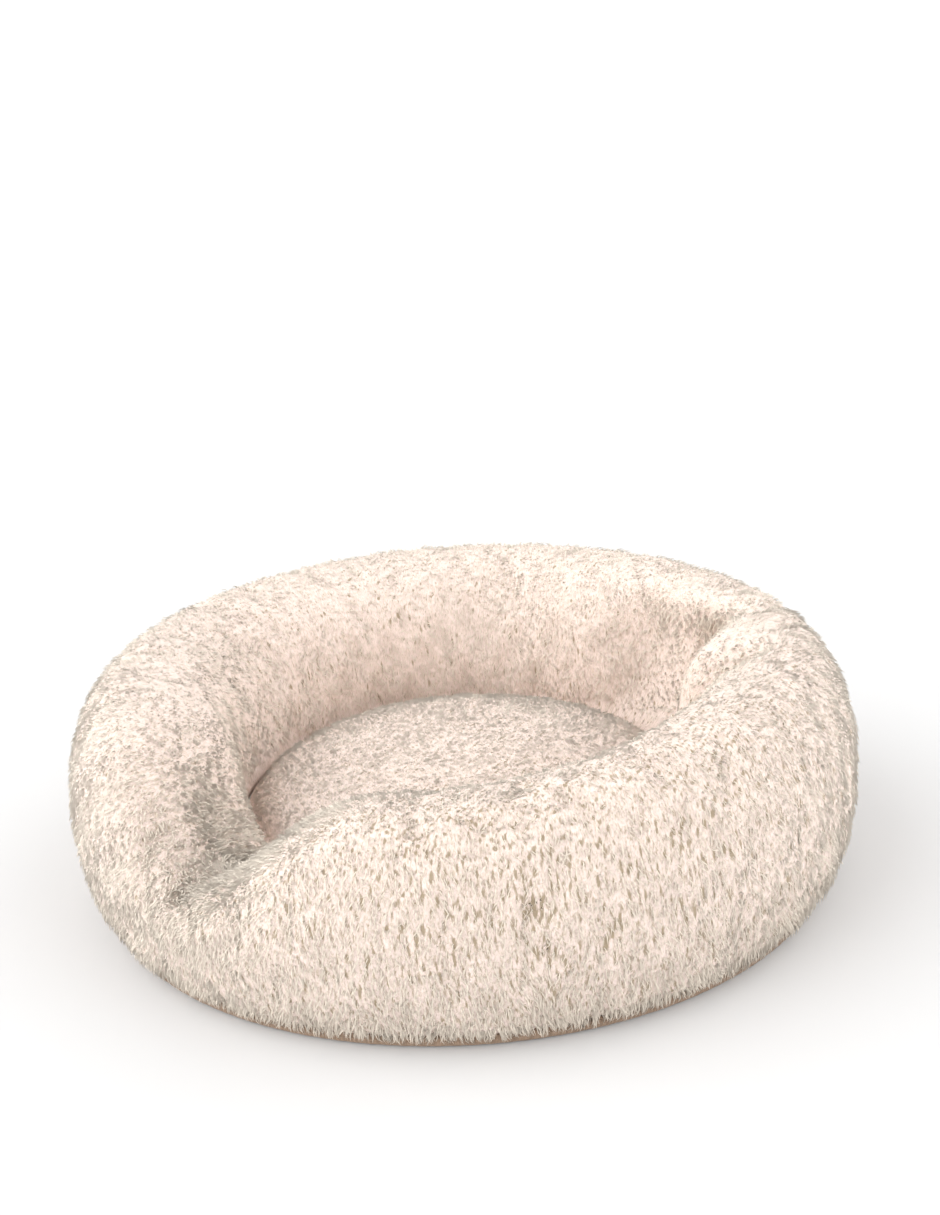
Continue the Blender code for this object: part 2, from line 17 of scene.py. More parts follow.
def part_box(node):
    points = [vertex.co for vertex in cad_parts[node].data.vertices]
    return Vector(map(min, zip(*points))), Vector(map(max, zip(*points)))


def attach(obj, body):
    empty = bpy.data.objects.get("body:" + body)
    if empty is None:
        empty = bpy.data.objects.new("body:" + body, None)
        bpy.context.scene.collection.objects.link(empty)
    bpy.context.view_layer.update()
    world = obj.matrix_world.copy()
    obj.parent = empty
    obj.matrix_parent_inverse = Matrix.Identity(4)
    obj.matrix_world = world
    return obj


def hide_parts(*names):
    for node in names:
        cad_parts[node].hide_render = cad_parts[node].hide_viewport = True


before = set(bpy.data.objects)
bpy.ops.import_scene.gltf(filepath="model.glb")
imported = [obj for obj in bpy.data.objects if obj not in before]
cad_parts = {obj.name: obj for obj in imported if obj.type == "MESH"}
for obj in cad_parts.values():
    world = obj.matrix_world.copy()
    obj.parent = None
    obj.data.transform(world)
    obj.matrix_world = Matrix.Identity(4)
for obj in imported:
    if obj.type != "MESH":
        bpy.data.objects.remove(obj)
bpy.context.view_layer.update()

bl_info = {
    "name": "Round Plush Pet Bed",
    "version": (1, 0, 0),
    "blender": (4, 5, 0),
    "location": "3D View > Sidebar > Pet Bed",
    "description": "Builds the fur, cloth, zip and studio of a round plush pet bed",
    "category": "Add Mesh",
}

cover_low, cover_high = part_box("bolster_cover")
cushion_low, cushion_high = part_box("cushion_cover")
hem_low, hem_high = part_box("hem_binding")
_, base_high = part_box("base_cloth")
wall_low, wall_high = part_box("chamber_wall")
seam_low, seam_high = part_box("seam_tape")
front_tape_low, front_tape_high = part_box("zip_tape_front")
back_tape_low, back_tape_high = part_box("zip_tape_back")
front_chain_low, front_chain_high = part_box("zip_chain_front")
back_chain_low, back_chain_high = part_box("zip_chain_back")

# How the stuffing of the rim has settled: azimuth and half width in degrees, share of the depth
DIP_DEPTH = 0.080
DIP_SHARES = np.array([(-134, 17, 1.04), (-98, 24, 0.16), (-38, 28, -0.10)])
FOLD_DEPTH = 0.018
FOLD_PINCH = 0.022
FOLD_SHARES = np.array(
    [(-7, 7, 1.20), (15, 6, 1.00), (-141, 15, 1.35), (78, 12, 0.40), (152, 13, 0.45), (-66, 14, 0.25)]
)
LOBE_DEPTH = 0.024
LOBE_SHARES = np.array(
    [(1, 7, 0.95), (50, 16, -0.20), (118, 20, 0.35), (-168, 20, 0.30), (-95, 24, 0.20)]
)
POCKET_DEPTH = 0.040
POCKET_SHARES = np.array([(20, 7, 0.90), (34, 13, 0.80)])
CREST_SIDE_SHARE = 0.10
SETTLE_LIFT_SHARE = 1.2

# Mounds and hollows of the cushion: x, y and radius as shares of its radius, and height share
CUSHION_SWELL = 0.005
CUSHION_FORM_SHARES = np.array(
    [(0.30, 0.10, 0.50, 1.00), (-0.50, -0.45, 0.42, -1.00), (-0.25, 0.50, 0.36, 0.55),
     (0.35, -0.60, 0.34, -0.70)]
)

# How the covers' cloth is filled: the points around and along each sheet, the share that its cloth
# grows by, the pressure and the soft springs, the cap on its moves, and the length below which the
# cushion's moves are smoothed around it
FILLED_RIM = (180, 44)
FILLED_CUSHION = (120, 30)
FILLED_GROWTH = 0.015
FILLED_PRESSURE = 1.0
FILLED_BENDING = 6.0
FILLED_SPRING = 0.3
FILLED_FRAMES = 20
FILLED_CAP = 0.0040
EASED_LENGTH = 0.03

# Hollows pressed into the rim's outer side, which starts over a width outside its core: azimuth and
# half width in degrees, height, half height and depth; then the ripples across the front of its
# crest, and the shallow partings below them
OUTER_WIDTH = 0.02
HOLLOWS = np.array(
    [(-82.5, 1.6, 0.104, 0.010, 0.0075), (-83.2, 1.1, 0.128, 0.016, 0.0040),
     (-81.0, 1.3, 0.076, 0.018, 0.0045), (-94.0, 1.3, 0.096, 0.014, 0.0045),
     (-98.5, 1.1, 0.082, 0.016, 0.0035), (-73.0, 1.2, 0.086, 0.018, 0.0035)]
)
RIPPLE_SEED = 501
RIPPLE_HEIGHT = 0.0011
RIPPLE_LENGTH = 0.011
RIPPLE_STRETCH = 4.0
RIPPLE_SHARES = np.array([(-88, 34, 1.0), (-30, 30, 0.5)])
RIPPLE_LEVEL = 0.140
RIPPLE_SPREAD = 0.026
PARTING_SEED = 502
PARTING_DEPTH = 0.0012
PARTING_WIDTH = 0.010

# At the inner seam the two coats press together: how far they swell into the crease, and over how
# many rows of each
SEAM_SWELL = 0.0012
SEAM_ROWS_RIM = 4
SEAM_ROWS_CUSHION = 6

# The fillings: how far inside their covers they lie, how far from the chamber wall and from its ends
# and from the floor, the share of their radius where their flat bottom starts, and their lumps
FILL_GAP = 0.0015
FILL_WALL_GAP = 0.003
FILL_WALL_ENDS = (0.002, 0.008)
FILL_FLOOR_GAP = 0.0012
FILL_FLOOR_SHARE = 0.82
PAD_GAP = 0.006
LUMP_SEED = 301
LUMP_LENGTH = 0.030
LUMP_HEIGHT = 0.0008

# The cloth underneath, its grip dots, the bound hem and the linings inside, and their threads
BASE_THREAD = 0.0011
BINDING_THREAD = 0.0010
LINING_THREAD = 0.0009
TAPE_THREAD = 0.0007
CLOTH_THICKNESS = 0.0012
BASE_REACH = base_high.x + 0.0006
SLOT_HALF_LENGTH = 0.131
SLOT_HALF_WIDTH = 0.006
GRIP_DOT_PITCH = 0.0155
GRIP_DOT_HEIGHT = 0.0008
GRIP_DOT_RADII = np.array([0.0019, 0.0015, 0.0007])
GRIP_DOT_LEVELS = np.array([GRIP_DOT_HEIGHT + 0.0010, 0.0002, 0.0])
GRIP_CLEARANCE = 0.008
EDGE_WIDTH = 0.035
EDGE_PUCKER = 0.0007
WRINKLE_SEED = 411
WRINKLE_LENGTH = 0.060
WRINKLE_HEIGHT = 0.0009
HEM_TAPE_WIDTH = 0.005
HEM_SQUARENESS = 2.8
HEM_PUCKERS = 150
HEM_PUCKER_SHARE = 0.045
HEM_SLOW_SHARE = 0.7
HEM_GROOVE_SHARE = 0.10
HEM_GROOVE_WIDTH = 0.22
SLOT_STITCH_OFFSETS = (0.0032, 0.0058)
SLOT_STITCH_PITCH = 0.0036
SLOT_STITCH_LENGTH = 0.0028
HEM_STITCH_PITCH = 0.0042
HEM_STITCH_LENGTH = 0.0030
THREAD_RADIUS = 0.00026
FINE_THREAD_RADIUS = 0.00020
THREAD_LIGHTNESS = 1.35
STITCH_SIDES = 5
STITCH_PLACES = np.array([-0.5, -0.28, 0.28, 0.5])
STITCH_GIRTHS = np.array([0.35, 1.0, 1.0, 0.35])
STITCH_DIPS = np.array([-1.2, 0.3, 0.3, -1.2])
DOWNWARD = np.array([0.0, 0.0, -1.0])
LINING_THICKNESS = 0.0010
LINING_SLACK = 0.003
LINING_SEED = 401
LINING_WAVE = 0.035
SEAM_TAPE_WIDTH = 0.015
COIL_PITCH = 0.0016
COIL_WIRE = 0.0006
COIL_OVERLAP = 0.0008
METAL_ROUNDING = 0.00022
STOP_ROUNDING = 0.0003

GOLDEN_TURN = (math.sqrt(5.0) - 1.0) / 2.0

# How far the roots of the locks are moved by chance, and how far they stay from a sheet's ends
SCATTER_SHARE = 0.30
SCATTER_MARGIN = 0.002

# How the locks sway, are pushed and are shaded: the share and the length of the crossed waves, and
# the spread of chance
LOCK_SWAY = (0.50, 0.050, 0.40)
LOCK_PUSH = (0.35, 0.040, 0.34)
LOCK_SHADE = (0.25, 0.030, 0.15)
LOCK_SHADE_MEAN = 0.55

# How strongly the locks fall, how high they are where they lie, the ranges of their heights and
# lengths, and how far ahead of its root the tip is where they stand
LOCK_FALL = 1.1
LOCK_LYING_HEIGHT = 0.90
LOCK_HEIGHTS = (0.84, 1.06)
LOCK_LENGTHS = (0.80, 1.15)
LOCK_FORWARD = 0.35

# How wide the strands of a lock start, how they spread where they stand and how much less where they
# lie, and how much lower and shorter they are by chance; no tip hangs below a height in the range
STRAND_SPREAD = 0.60
STRAND_GATHER = (1.35, 0.90)
STRAND_GATHER_CHANCE = 0.15
STRAND_SINK = 0.0026
STRAND_SHORTER = 0.0035
STRAND_FLOOR = (0.0012, 0.0040)
STRAND_SHADE_CHANCE = 0.10

# Where a strand bends, along it and over it, how deep it is rooted, how wide it is, and its taper
STRAND_BEND = (0.42, 0.34)
STRAND_ROOTED = 0.4
STRAND_WIDTHS = (0.8, 1.2)
UNDERFUR_WIDTH = 1.25
STRAND_TAPER = 0.85

# Gaps where the locks part: the waves whose peaks they are, how these are shrunk upright and the
# step that their slope is taken over, how slow the waves are that break them up and what share these
# have, and from what height of the waves and over how much the gaps open
PART_SEED = 16
PART_WAVES = 18
PART_WAVE = 0.0035
PART_SHRINK = np.array([1.0, 1.0, 0.20])
PART_STEP = 0.0003
PART_BREAKS = 0.024
PART_BREAK_SHARE = 0.28
PART_LEVEL = 0.20
PART_EDGE = 1.15

# How far the pile draws away from the gaps, how much painted shade darkens it in them and how low
# it is there, how much the flecks of the underfur fray them, and how much painted shade darkens the
# underfur there
PART_REACH = 0.0010
PART_SHADE = 0.50
PART_DEPTH = 0.0008
PART_FRAY = 1.6
PART_COAT_SHADE = 0.88

# Where there are more gaps, and so more painted shade: azimuth and half width in degrees, share; on
# the well's side; and in the hollows, where the pile is lower too. They follow how the light falls:
# more at the front, fewer on the lit sides and on the well's side, and more in the hollows. Last,
# the share of strands darkened at random as painted shade specks, and how dark they are
PART_SHARES = np.array(
    [(-88, 32, 0.26), (-42, 24, 0.12), (-146, 20, -0.16), (176, 38, -0.24), (20, 38, -0.22),
     (90, 40, -0.08)]
)
PART_WELL = -0.12
HOLLOW_PARTS = 90.0
HOLLOW_SINK = 0.55
SHADE_SPECK_SHARE = 0.04
SHADE_SPECK_TONE = 0.2

# How far the shading of a strand follows the cloth below it rather than its own roundness, and how
# much of its UV map's width its shade takes
PILE_SOFTNESS = 0.93
SHADE_SPAN = 0.94

# The camera that sees the bed as the photograph does; the photograph is 940 by 1215 pixels
VIEW_LENS = 61.27
VIEW_SENSOR = 36.0
VIEW_DISTANCE = 1.6
VIEW_TARGET_HEIGHT = 0.08
VIEW_ELEVATION = math.radians(24.145)
VIEW_PAN = math.radians(0.4984)
VIEW_TILT = math.radians(4.3192)
VIEW_ROLL = math.radians(3.676)


class BedSizes(bpy.types.PropertyGroup):
    """The sizes of the bed and of its pile."""

    outer_radius: FloatProperty(
        name="Outer radius",
        description="From the axis to the tips of the pile at the rim's widest",
        default=cover_high.x,
        min=0.1,
        unit="LENGTH",
    )
    rim_height: FloatProperty(
        name="Rim height",
        description="Height of the rim's crest before its stuffing settles",
        default=0.178,
        min=0.05,
        unit="LENGTH",
    )
    well_radius: FloatProperty(
        name="Well radius",
        description="From the axis to the narrowest of the sleeping well",
        default=0.170,
        min=0.05,
        unit="LENGTH",
    )
    core_radius: FloatProperty(
        name="Core radius",
        description="From the axis to the middle of the rim's tube",
        default=0.243,
        min=0.05,
        unit="LENGTH",
    )
    core_height: FloatProperty(
        name="Core height",
        description="Height of the rim's widest level",
        default=0.083,
        min=0.01,
        unit="LENGTH",
    )
    keel_depth: FloatProperty(
        name="Keel depth",
        description="How much of the round section the floor cuts off",
        default=0.0055,
        min=0.0,
        unit="LENGTH",
    )
    foot_height: FloatProperty(
        name="Foot height",
        description="Height of the fur panel's lower edge above the floor",
        default=cover_low.z,
        min=0.0,
        unit="LENGTH",
    )
    seam_height: FloatProperty(
        name="Seam height",
        description="Height of the inner seam between rim and cushion",
        default=cushion_low.z,
        min=0.0,
        unit="LENGTH",
    )
    crown_height: FloatProperty(
        name="Crown height",
        description="Height of the cushion's crown",
        default=0.099,
        min=0.0,
        unit="LENGTH",
    )
    cushion_radius: FloatProperty(
        name="Cushion radius",
        description="From the axis to the edge of the cushion's fur",
        default=cushion_high.x,
        min=0.05,
        unit="LENGTH",
    )
    pile_depth: FloatProperty(
        name="Pile depth",
        description="Height of the tips of the pile over its backing",
        default=0.0085,
        min=0.001,
        unit="LENGTH",
    )
    pile_length: FloatProperty(
        name="Pile length",
        description="Length of a lock of the pile from root to tip",
        default=0.0120,
        min=0.001,
        unit="LENGTH",
    )
    coat_depth: FloatProperty(
        name="Coat depth",
        description="How far below the tips the underfur is too dense to see into",
        default=0.0040,
        min=0.001,
        unit="LENGTH",
    )
    lock_spacing: FloatProperty(
        name="Lock spacing",
        description="Distance between neighbouring locks of the pile",
        default=0.0036,
        min=0.002,
        unit="LENGTH",
    )
    lock_strands: IntProperty(
        name="Strands per lock",
        description="How many strands cling together in one lock",
        default=5,
        min=1,
        max=16,
    )
    lock_guards: IntProperty(
        name="Guard hairs per lock",
        description="How many of a lock's strands are long bent guard hairs; the rest is underfur",
        default=1,
        min=1,
        max=12,
    )
    strand_width: FloatProperty(
        name="Strand width",
        description="Width of a strand of the pile at its root",
        default=0.0010,
        min=0.0002,
        unit="LENGTH",
    )
    backing_thickness: FloatProperty(
        name="Backing thickness",
        description="Thickness of the knitted backing under the pile",
        default=0.0024,
        min=0.0005,
        unit="LENGTH",
    )


class BedColours(bpy.types.PropertyGroup):
    """The colours of the bed's finishes."""

    fur_tip: FloatVectorProperty(
        name="Fur tips",
        description="Colour of the pile at its tips",
        default=(0.95, 0.79, 0.735),
        subtype="COLOR",
        min=0.0,
        max=1.0,
    )
    # Painted shade: the pile darkens towards this colour at its roots, in place of the shade deep in the
    # pile; the backing takes it too
    fur_root_shade: FloatVectorProperty(
        name="Fur roots",
        description="Colour of the pile at its roots and of its backing",
        default=(0.58, 0.49, 0.36),
        subtype="COLOR",
        min=0.0,
        max=1.0,
    )
    # Painted shade: the dark colour that the underfur takes where the locks part, in place of the shade
    # deep in the pile
    fur_gap_shade: FloatVectorProperty(
        name="Fur gaps",
        description="Colour deep in the pile, where its locks part",
        default=(0.36, 0.285, 0.19),
        subtype="COLOR",
        min=0.0,
        max=1.0,
    )
    filling: FloatVectorProperty(
        name="Filling",
        description="Colour of the polyester fibre",
        default=(0.80, 0.80, 0.78),
        subtype="COLOR",
        min=0.0,
        max=1.0,
    )
    base: FloatVectorProperty(
        name="Base cloth",
        description="Colour of the cloth underneath",
        default=(0.33, 0.235, 0.165),
        subtype="COLOR",
        min=0.0,
        max=1.0,
    )
    binding: FloatVectorProperty(
        name="Binding",
        description="Colour of the bound hem",
        default=(0.36, 0.250, 0.175),
        subtype="COLOR",
        min=0.0,
        max=1.0,
    )
    lining: FloatVectorProperty(
        name="Lining",
        description="Colour of the chamber wall and of the seam's tape",
        default=(0.70, 0.66, 0.60),
        subtype="COLOR",
        min=0.0,
        max=1.0,
    )
    zip_tape: FloatVectorProperty(
        name="Zip tape",
        description="Colour of the zip's woven tape",
        default=(0.42, 0.330, 0.250),
        subtype="COLOR",
        min=0.0,
        max=1.0,
    )
    zip_coil: FloatVectorProperty(
        name="Zip coil",
        description="Colour of the zip's moulded coil",
        default=(0.46, 0.370, 0.285),
        subtype="COLOR",
        min=0.0,
        max=1.0,
    )
    metal: FloatVectorProperty(
        name="Metal",
        description="Colour of the slider, the puller and the stops",
        default=(0.62, 0.58, 0.52),
        subtype="COLOR",
        min=0.0,
        max=1.0,
    )
    floor: FloatVectorProperty(
        name="Floor",
        description="Colour of the studio floor",
        default=(0.68, 0.68, 0.68),
        subtype="COLOR",
        min=0.0,
        max=1.0,
    )


# Meshes from arrays


def mesh_object(name, verts, corners, counts, smooth=True):
    """An object from vertex places (n, 3), the corners of all faces in a row and each face's count."""
    mesh = bpy.data.meshes.new(name)
    mesh.vertices.add(len(verts))
    mesh.vertices.foreach_set("co", np.asarray(verts, np.float32).ravel())
    mesh.loops.add(len(corners))
    mesh.loops.foreach_set("vertex_index", np.asarray(corners, np.int32))
    starts = np.concatenate(([0], np.cumsum(counts)[:-1])).astype(np.int32)
    mesh.polygons.add(len(counts))
    mesh.polygons.foreach_set("loop_start", starts)
    mesh.update(calc_edges=True)
    mesh.validate()
    if smooth:
        mesh.shade_smooth()
    thing = bpy.data.objects.new(name, mesh)
    bpy.context.scene.collection.objects.link(thing)
    return thing


def add_uv(thing, name, uv):
    """A UV map from one (u, v) for each corner."""
    layer = thing.data.uv_layers.new(name=name)
    layer.data.foreach_set("uv", np.asarray(uv, np.float32).ravel())


def sheet_quads(around, along, spans):
    """The quads (around, spans, 4) between neighbouring points of a sheet that wraps around."""
    column = np.arange(around)[:, None]
    row = np.arange(spans)
    above = (row + 1) % along
    here, after = column * along, (column + 1) % around * along
    return np.stack([here + row, after + row, after + above, here + above], axis=-1)


def grid_object(name, points, close_along=False):
    """A closed sheet from points (around, along, 3) that wraps around in its first direction.

    Face (i, j) joins the points (i, j), (i+1, j), (i+1, j+1) and (i, j+1). The second direction
    either wraps too, or its ends are poles where all points coincide and become one.
    Its UV map "cloth" holds the metres around and along the sheet.
    """
    around, along = points.shape[:2]
    column = np.arange(around)
    spans = along if close_along else along - 1
    quads = sheet_quads(around, along, spans)
    girth = np.linalg.norm(np.diff(points[:, along // 2], axis=0), axis=1).mean()
    steps = np.linalg.norm(np.diff(points[0], axis=0), axis=1)
    run = np.concatenate(([0.0], np.cumsum(steps)))
    run = np.append(run, run[-1] + steps.mean()) if close_along else run
    across = np.broadcast_to(column[:, None, None] + np.array([0, 1, 1, 0]), quads.shape)
    up = run[np.arange(spans)[:, None] + np.array([0, 0, 1, 1])]
    uv = np.stack([across * girth, np.broadcast_to(up, quads.shape)], axis=-1)
    verts = points.reshape(-1, 3)
    if close_along:
        corners = quads.ravel()
        counts = np.full(around * spans, 4)
        kept_uv = uv.reshape(-1, 2)
    else:
        same = np.arange(around * along)
        same[column * along] = 0
        same[column * along + along - 1] = along - 1
        quads = same[quads]
        first = np.zeros((around, spans, 4), bool)
        first[:, 0, 1] = True
        first[:, -1, 2] = True
        keep = ~first
        corners = quads[keep]
        counts = keep.sum(axis=-1).ravel()
        kept_uv = uv[keep]
        used = np.unique(corners)
        place = np.zeros(len(verts), int)
        place[used] = np.arange(len(used))
        verts = verts[used]
        corners = place[corners]
    thing = mesh_object(name, verts, corners, counts)
    add_uv(thing, "cloth", kept_uv)
    return thing


def vertex_places(mesh):
    """The places of a mesh's vertices as an array (n, 3)."""
    places = np.empty(len(mesh.vertices) * 3, np.float32)
    mesh.vertices.foreach_get("co", places)
    return places.reshape(-1, 3)


def combed_uv(thing, heading):
    """Change the UV map "cloth" to the metres across and along a level heading, seen from above."""
    mesh = thing.data
    corners = np.empty(len(mesh.loops), np.int32)
    mesh.loops.foreach_get("vertex_index", corners)
    x, y = vertex_places(mesh)[corners, :2].T
    uv = np.stack([x * heading[1] - y * heading[0], x * heading[0] + y * heading[1]], axis=-1)
    mesh.uv_layers["cloth"].data.foreach_set("uv", uv.astype(np.float32).ravel())


def tube_points(path, radius, sides, up):
    """Rings of a tube: each point of the path plus radius times (cos, sin) across its direction."""
    ahead = np.gradient(path, axis=0)
    ahead /= np.linalg.norm(ahead, axis=1, keepdims=True)
    across = np.cross(ahead, up)
    across /= np.linalg.norm(across, axis=1, keepdims=True)
    over = np.cross(ahead, across)
    turn = np.arange(sides) * math.tau / sides
    ring = across[:, None] * np.cos(turn)[:, None] + over[:, None] * np.sin(turn)[:, None]
    return path[:, None] + radius * ring


def tube_faces(rings, sides):
    """Quads between neighbouring rings and a cap at each end, for rings numbered in order."""
    ring = np.arange(rings - 1)[:, None] * sides
    side = np.arange(sides)
    turned = (side + 1) % sides
    quads = np.stack([ring + side, ring + turned, ring + sides + turned, ring + sides + side], -1)
    corners = np.concatenate([quads.ravel(), side[::-1], (rings - 1) * sides + side])
    counts = np.concatenate([np.full((rings - 1) * sides, 4), [sides, sides]])
    return corners, counts


def repeated(verts, corners, counts, places):
    """Copies of one small shape, each moved to its place."""
    moved = verts + places[:, None]
    every = corners + len(verts) * np.arange(len(places))[:, None]
    return moved.reshape(-1, 3), every.ravel(), np.tile(counts, len(places))


# The bed's surfaces

known_moves = {}


def smoothstep(share):
    """0 below 0, 1 above 1, and 3s^2 - 2s^3 between."""
    share = np.clip(share, 0.0, 1.0)
    return share * share * (3.0 - 2.0 * share)


def around_rim(azimuth, rows):
    """The sum over rows of share times exp(-(degrees from the row's azimuth / half width)^2)."""
    away = (azimuth[..., None] - rows[:, 0] + 180.0) % 360.0 - 180.0
    return (rows[:, 2] * np.exp(-((away / rows[:, 1]) ** 2))).sum(axis=-1)


def superellipse(angle, squareness=2.2):
    """Unit points (|cos|^(2/k), |sin|^(2/k)) with the signs of cos and sin."""
    power = 2.0 / squareness
    cos, sin = np.cos(angle), np.sin(angle)
    return np.sign(cos) * np.abs(cos) ** power, np.sign(sin) * np.abs(sin) ** power


def wave_vectors(wavelength, seed, waves):
    """Plane waves in random directions: their wave vectors (waves, 3) and their phases."""
    random = np.random.default_rng(seed)
    heading = random.normal(size=(waves, 3))
    heading /= np.linalg.norm(heading, axis=1, keepdims=True)
    number = math.tau / wavelength * random.uniform(0.6, 1.6, waves)
    return heading * number[:, None], random.uniform(0.0, math.tau, waves)


def crossed_waves(points, wavelength, seed, waves=24):
    """A smooth field between about -1 and 1: the sum of sin(k.x + phase) over the waves, scaled."""
    vectors, phases = wave_vectors(wavelength, seed, waves)
    return np.sin(points @ vectors.T + phases).sum(axis=-1) / math.sqrt(2.0 * waves)


def rim_section(sizes, angle, inset):
    """Radius and height of the rim's section: a superellipse about the core with four half axes.

    Angle 0 is the widest place and a quarter turn is the crest. Inset draws all but the foot in.
    """
    across, up = superellipse(angle)
    outward = sizes.outer_radius - sizes.core_radius - inset
    inward = sizes.core_radius - sizes.well_radius - inset
    upward = sizes.rim_height - sizes.core_height - inset
    downward = sizes.core_height + sizes.keel_depth
    radius = sizes.core_radius + across * np.where(across > 0.0, outward, inward)
    height = sizes.core_height + up * np.where(up > 0.0, upward, downward)
    return radius, height


def rim_settled(sizes, azimuth, radius, height, settled):
    """Places (x, y, z) of the stuffed rim.

    rise = (z - seam) / (rim - seam) is 0 at the seam and 1 at the crest, and lift = rise^1.2. The
    rim drops by dips times lift; on the well's side it drops by folds, draws back by their pinch
    and swells into the well by lobes, each weighted by lift times a smooth step across the crest.
    Pockets draw the well's side back by 4 rise (1 - rise), most of all halfway up. Settled scales
    it all; at 0 the rim is round, as its cloth was cut.
    """
    degrees = np.degrees(azimuth)
    rise = np.maximum((height - sizes.seam_height) / (sizes.rim_height - sizes.seam_height), 0.0)
    lift = settled * rise**SETTLE_LIFT_SHARE
    inward = (sizes.core_radius - radius) / (sizes.core_radius - sizes.well_radius)
    side = smoothstep(inward + CREST_SIDE_SHARE)
    fold = around_rim(degrees, FOLD_SHARES) * lift * side
    lobe = around_rim(degrees, LOBE_SHARES) * lift * side
    pocket = around_rim(degrees, POCKET_SHARES) * 4.0 * rise * np.maximum(1.0 - rise, 0.0) * side
    pocket = settled * pocket
    drop = DIP_DEPTH * around_rim(degrees, DIP_SHARES) * lift + FOLD_DEPTH * fold
    reach = radius + FOLD_PINCH * fold - LOBE_DEPTH * lobe + POCKET_DEPTH * pocket
    return np.stack([reach * np.cos(azimuth), reach * np.sin(azimuth), height - drop], axis=-1)


def angle_below_core(sizes, height):
    """How far below the level of the core the rim's section reaches a height."""
    share = (sizes.core_height - height) / (sizes.core_height + sizes.keel_depth)
    return math.asin(share**1.1)


def rim_sheet(sizes, inset, around, along, settled=1.0):
    """Points (around, along, 3) of the rim from the foot over the crest to the inner seam."""
    start = -angle_below_core(sizes, sizes.foot_height)
    end = math.pi + angle_below_core(sizes, sizes.seam_height)
    radius, height = rim_section(sizes, np.linspace(start, end, along), inset)
    azimuth = np.arange(around)[:, None] * math.tau / around
    azimuth = (azimuth + math.pi) % math.tau - math.pi
    radius, height, azimuth = np.broadcast_arrays(radius, height, azimuth)
    return rim_settled(sizes, azimuth, radius, height, settled)


def cushion_sheet(sizes, inset, around, along):
    """Points of the cushion from its edge to the pole: a superellipse dome with soft mounds.

    Each mound adds height times exp(-(distance / radius)^2), weighted by the dome's own rise.
    """
    across, up = superellipse(np.linspace(0.0, math.pi / 2.0, along), 2.3)
    up[-1] = 1.0
    across[-1] = 0.0
    radius = (sizes.cushion_radius - inset) * across
    rise = sizes.crown_height - inset - sizes.seam_height
    azimuth = np.arange(around)[:, None] * math.tau / around
    x, y = radius * np.cos(azimuth), radius * np.sin(azimuth)
    form = CUSHION_FORM_SHARES
    x_share, y_share = x[..., None] / sizes.cushion_radius, y[..., None] / sizes.cushion_radius
    away = np.hypot(x_share - form[:, 0], y_share - form[:, 1])
    swell = (form[:, 3] * np.exp(-((away / form[:, 2]) ** 2))).sum(axis=-1)
    z = sizes.seam_height + rise * up + CUSHION_SWELL * swell * smoothstep(up)
    return np.stack([x, y, z], axis=-1)


def filled_moves(points, cut, held_rows):
    """How far each point of a sheet (around, along, 3) moves when its cloth is filled.

    Blender's cloth simulation gives the sheet the lengths of the cloth as it was cut, grown by a
    share, and presses it outwards. The held rows are sewn down, and a soft spring draws every other
    point to its place, so that the slack turns into wrinkles, most of all where the stuffing has
    sunk. Each move m is kept below the cap as cap tanh(|m| / cap) along m.
    """
    around, along = points.shape[:2]
    corners = sheet_quads(around, along, along - 1).ravel()
    skin = mesh_object("skin", points.reshape(-1, 3), corners, np.full(len(corners) // 4, 4))
    skin.shape_key_add(name="filled")
    sewn_shape = skin.shape_key_add(name="cut")
    sewn_shape.data.foreach_set("co", cut.astype(np.float32).ravel())
    held = skin.vertex_groups.new(name="held")
    held.add(list(range(around * along)), FILLED_SPRING, "REPLACE")
    for row in held_rows:
        sewn = np.arange(around) * along + row % along
        held.add(sewn.tolist(), 1.0, "REPLACE")
    cloth = skin.modifiers.new("filling", "CLOTH")
    cloth.point_cache.frame_start = 1
    cloth.point_cache.frame_end = FILLED_FRAMES
    cloth.collision_settings.use_collision = False
    settings = cloth.settings
    settings.quality = 5
    settings.rest_shape_key = sewn_shape
    settings.bending_stiffness = FILLED_BENDING
    settings.vertex_group_mass = held.name
    settings.use_pressure = True
    settings.uniform_pressure_force = FILLED_PRESSURE
    settings.shrink_min = -FILLED_GROWTH
    settings.effector_weights.gravity = 0.0
    scene = bpy.context.scene
    for frame_number in range(1, FILLED_FRAMES + 1):
        scene.frame_set(frame_number)
    mesh = skin.evaluated_get(bpy.context.evaluated_depsgraph_get()).to_mesh()
    places = np.empty(len(mesh.vertices) * 3, np.float32)
    mesh.vertices.foreach_get("co", places)
    bpy.data.objects.remove(skin)
    scene.frame_set(1)
    moves = places.reshape(points.shape) - points
    size = np.linalg.norm(moves, axis=-1, keepdims=True)
    return moves * FILLED_CAP * np.tanh(size / FILLED_CAP) / np.maximum(size, 1e-9)


def resampled(values, around, along):
    """A grid's values read at another number of points."""
    u, v = np.meshgrid(np.arange(around) / around, np.linspace(0.0, 1.0, along), indexing="ij")
    return read_sheet(values, u.ravel(), v.ravel()).reshape(around, along, 3)


def rim_moves(sizes):
    """The rim's filled moves, worked out once for a set of sizes."""
    key = ("rim", *(getattr(sizes, name) for name in sizes.__annotations__))
    if key not in known_moves:
        points = rim_sheet(sizes, sizes.pile_depth, *FILLED_RIM)
        cut = rim_sheet(sizes, sizes.pile_depth, *FILLED_RIM, settled=0.0)
        known_moves[key] = filled_moves(points, cut, (0, -1))
    return known_moves[key]


def eased_around(values, points):
    """A sheet's values without the short waves around it, which would crowd at its pole.

    Wave n of a row of girth g is scaled by exp(-(n length / g)^2).
    """
    girth = math.tau * np.hypot(points[0, :, 0], points[0, :, 1])
    spectrum = np.fft.rfft(values, axis=0)
    number = np.arange(len(spectrum))[:, None]
    spectrum *= np.exp(-((number * EASED_LENGTH / girth) ** 2))[..., None]
    return np.fft.irfft(spectrum, len(values), axis=0)


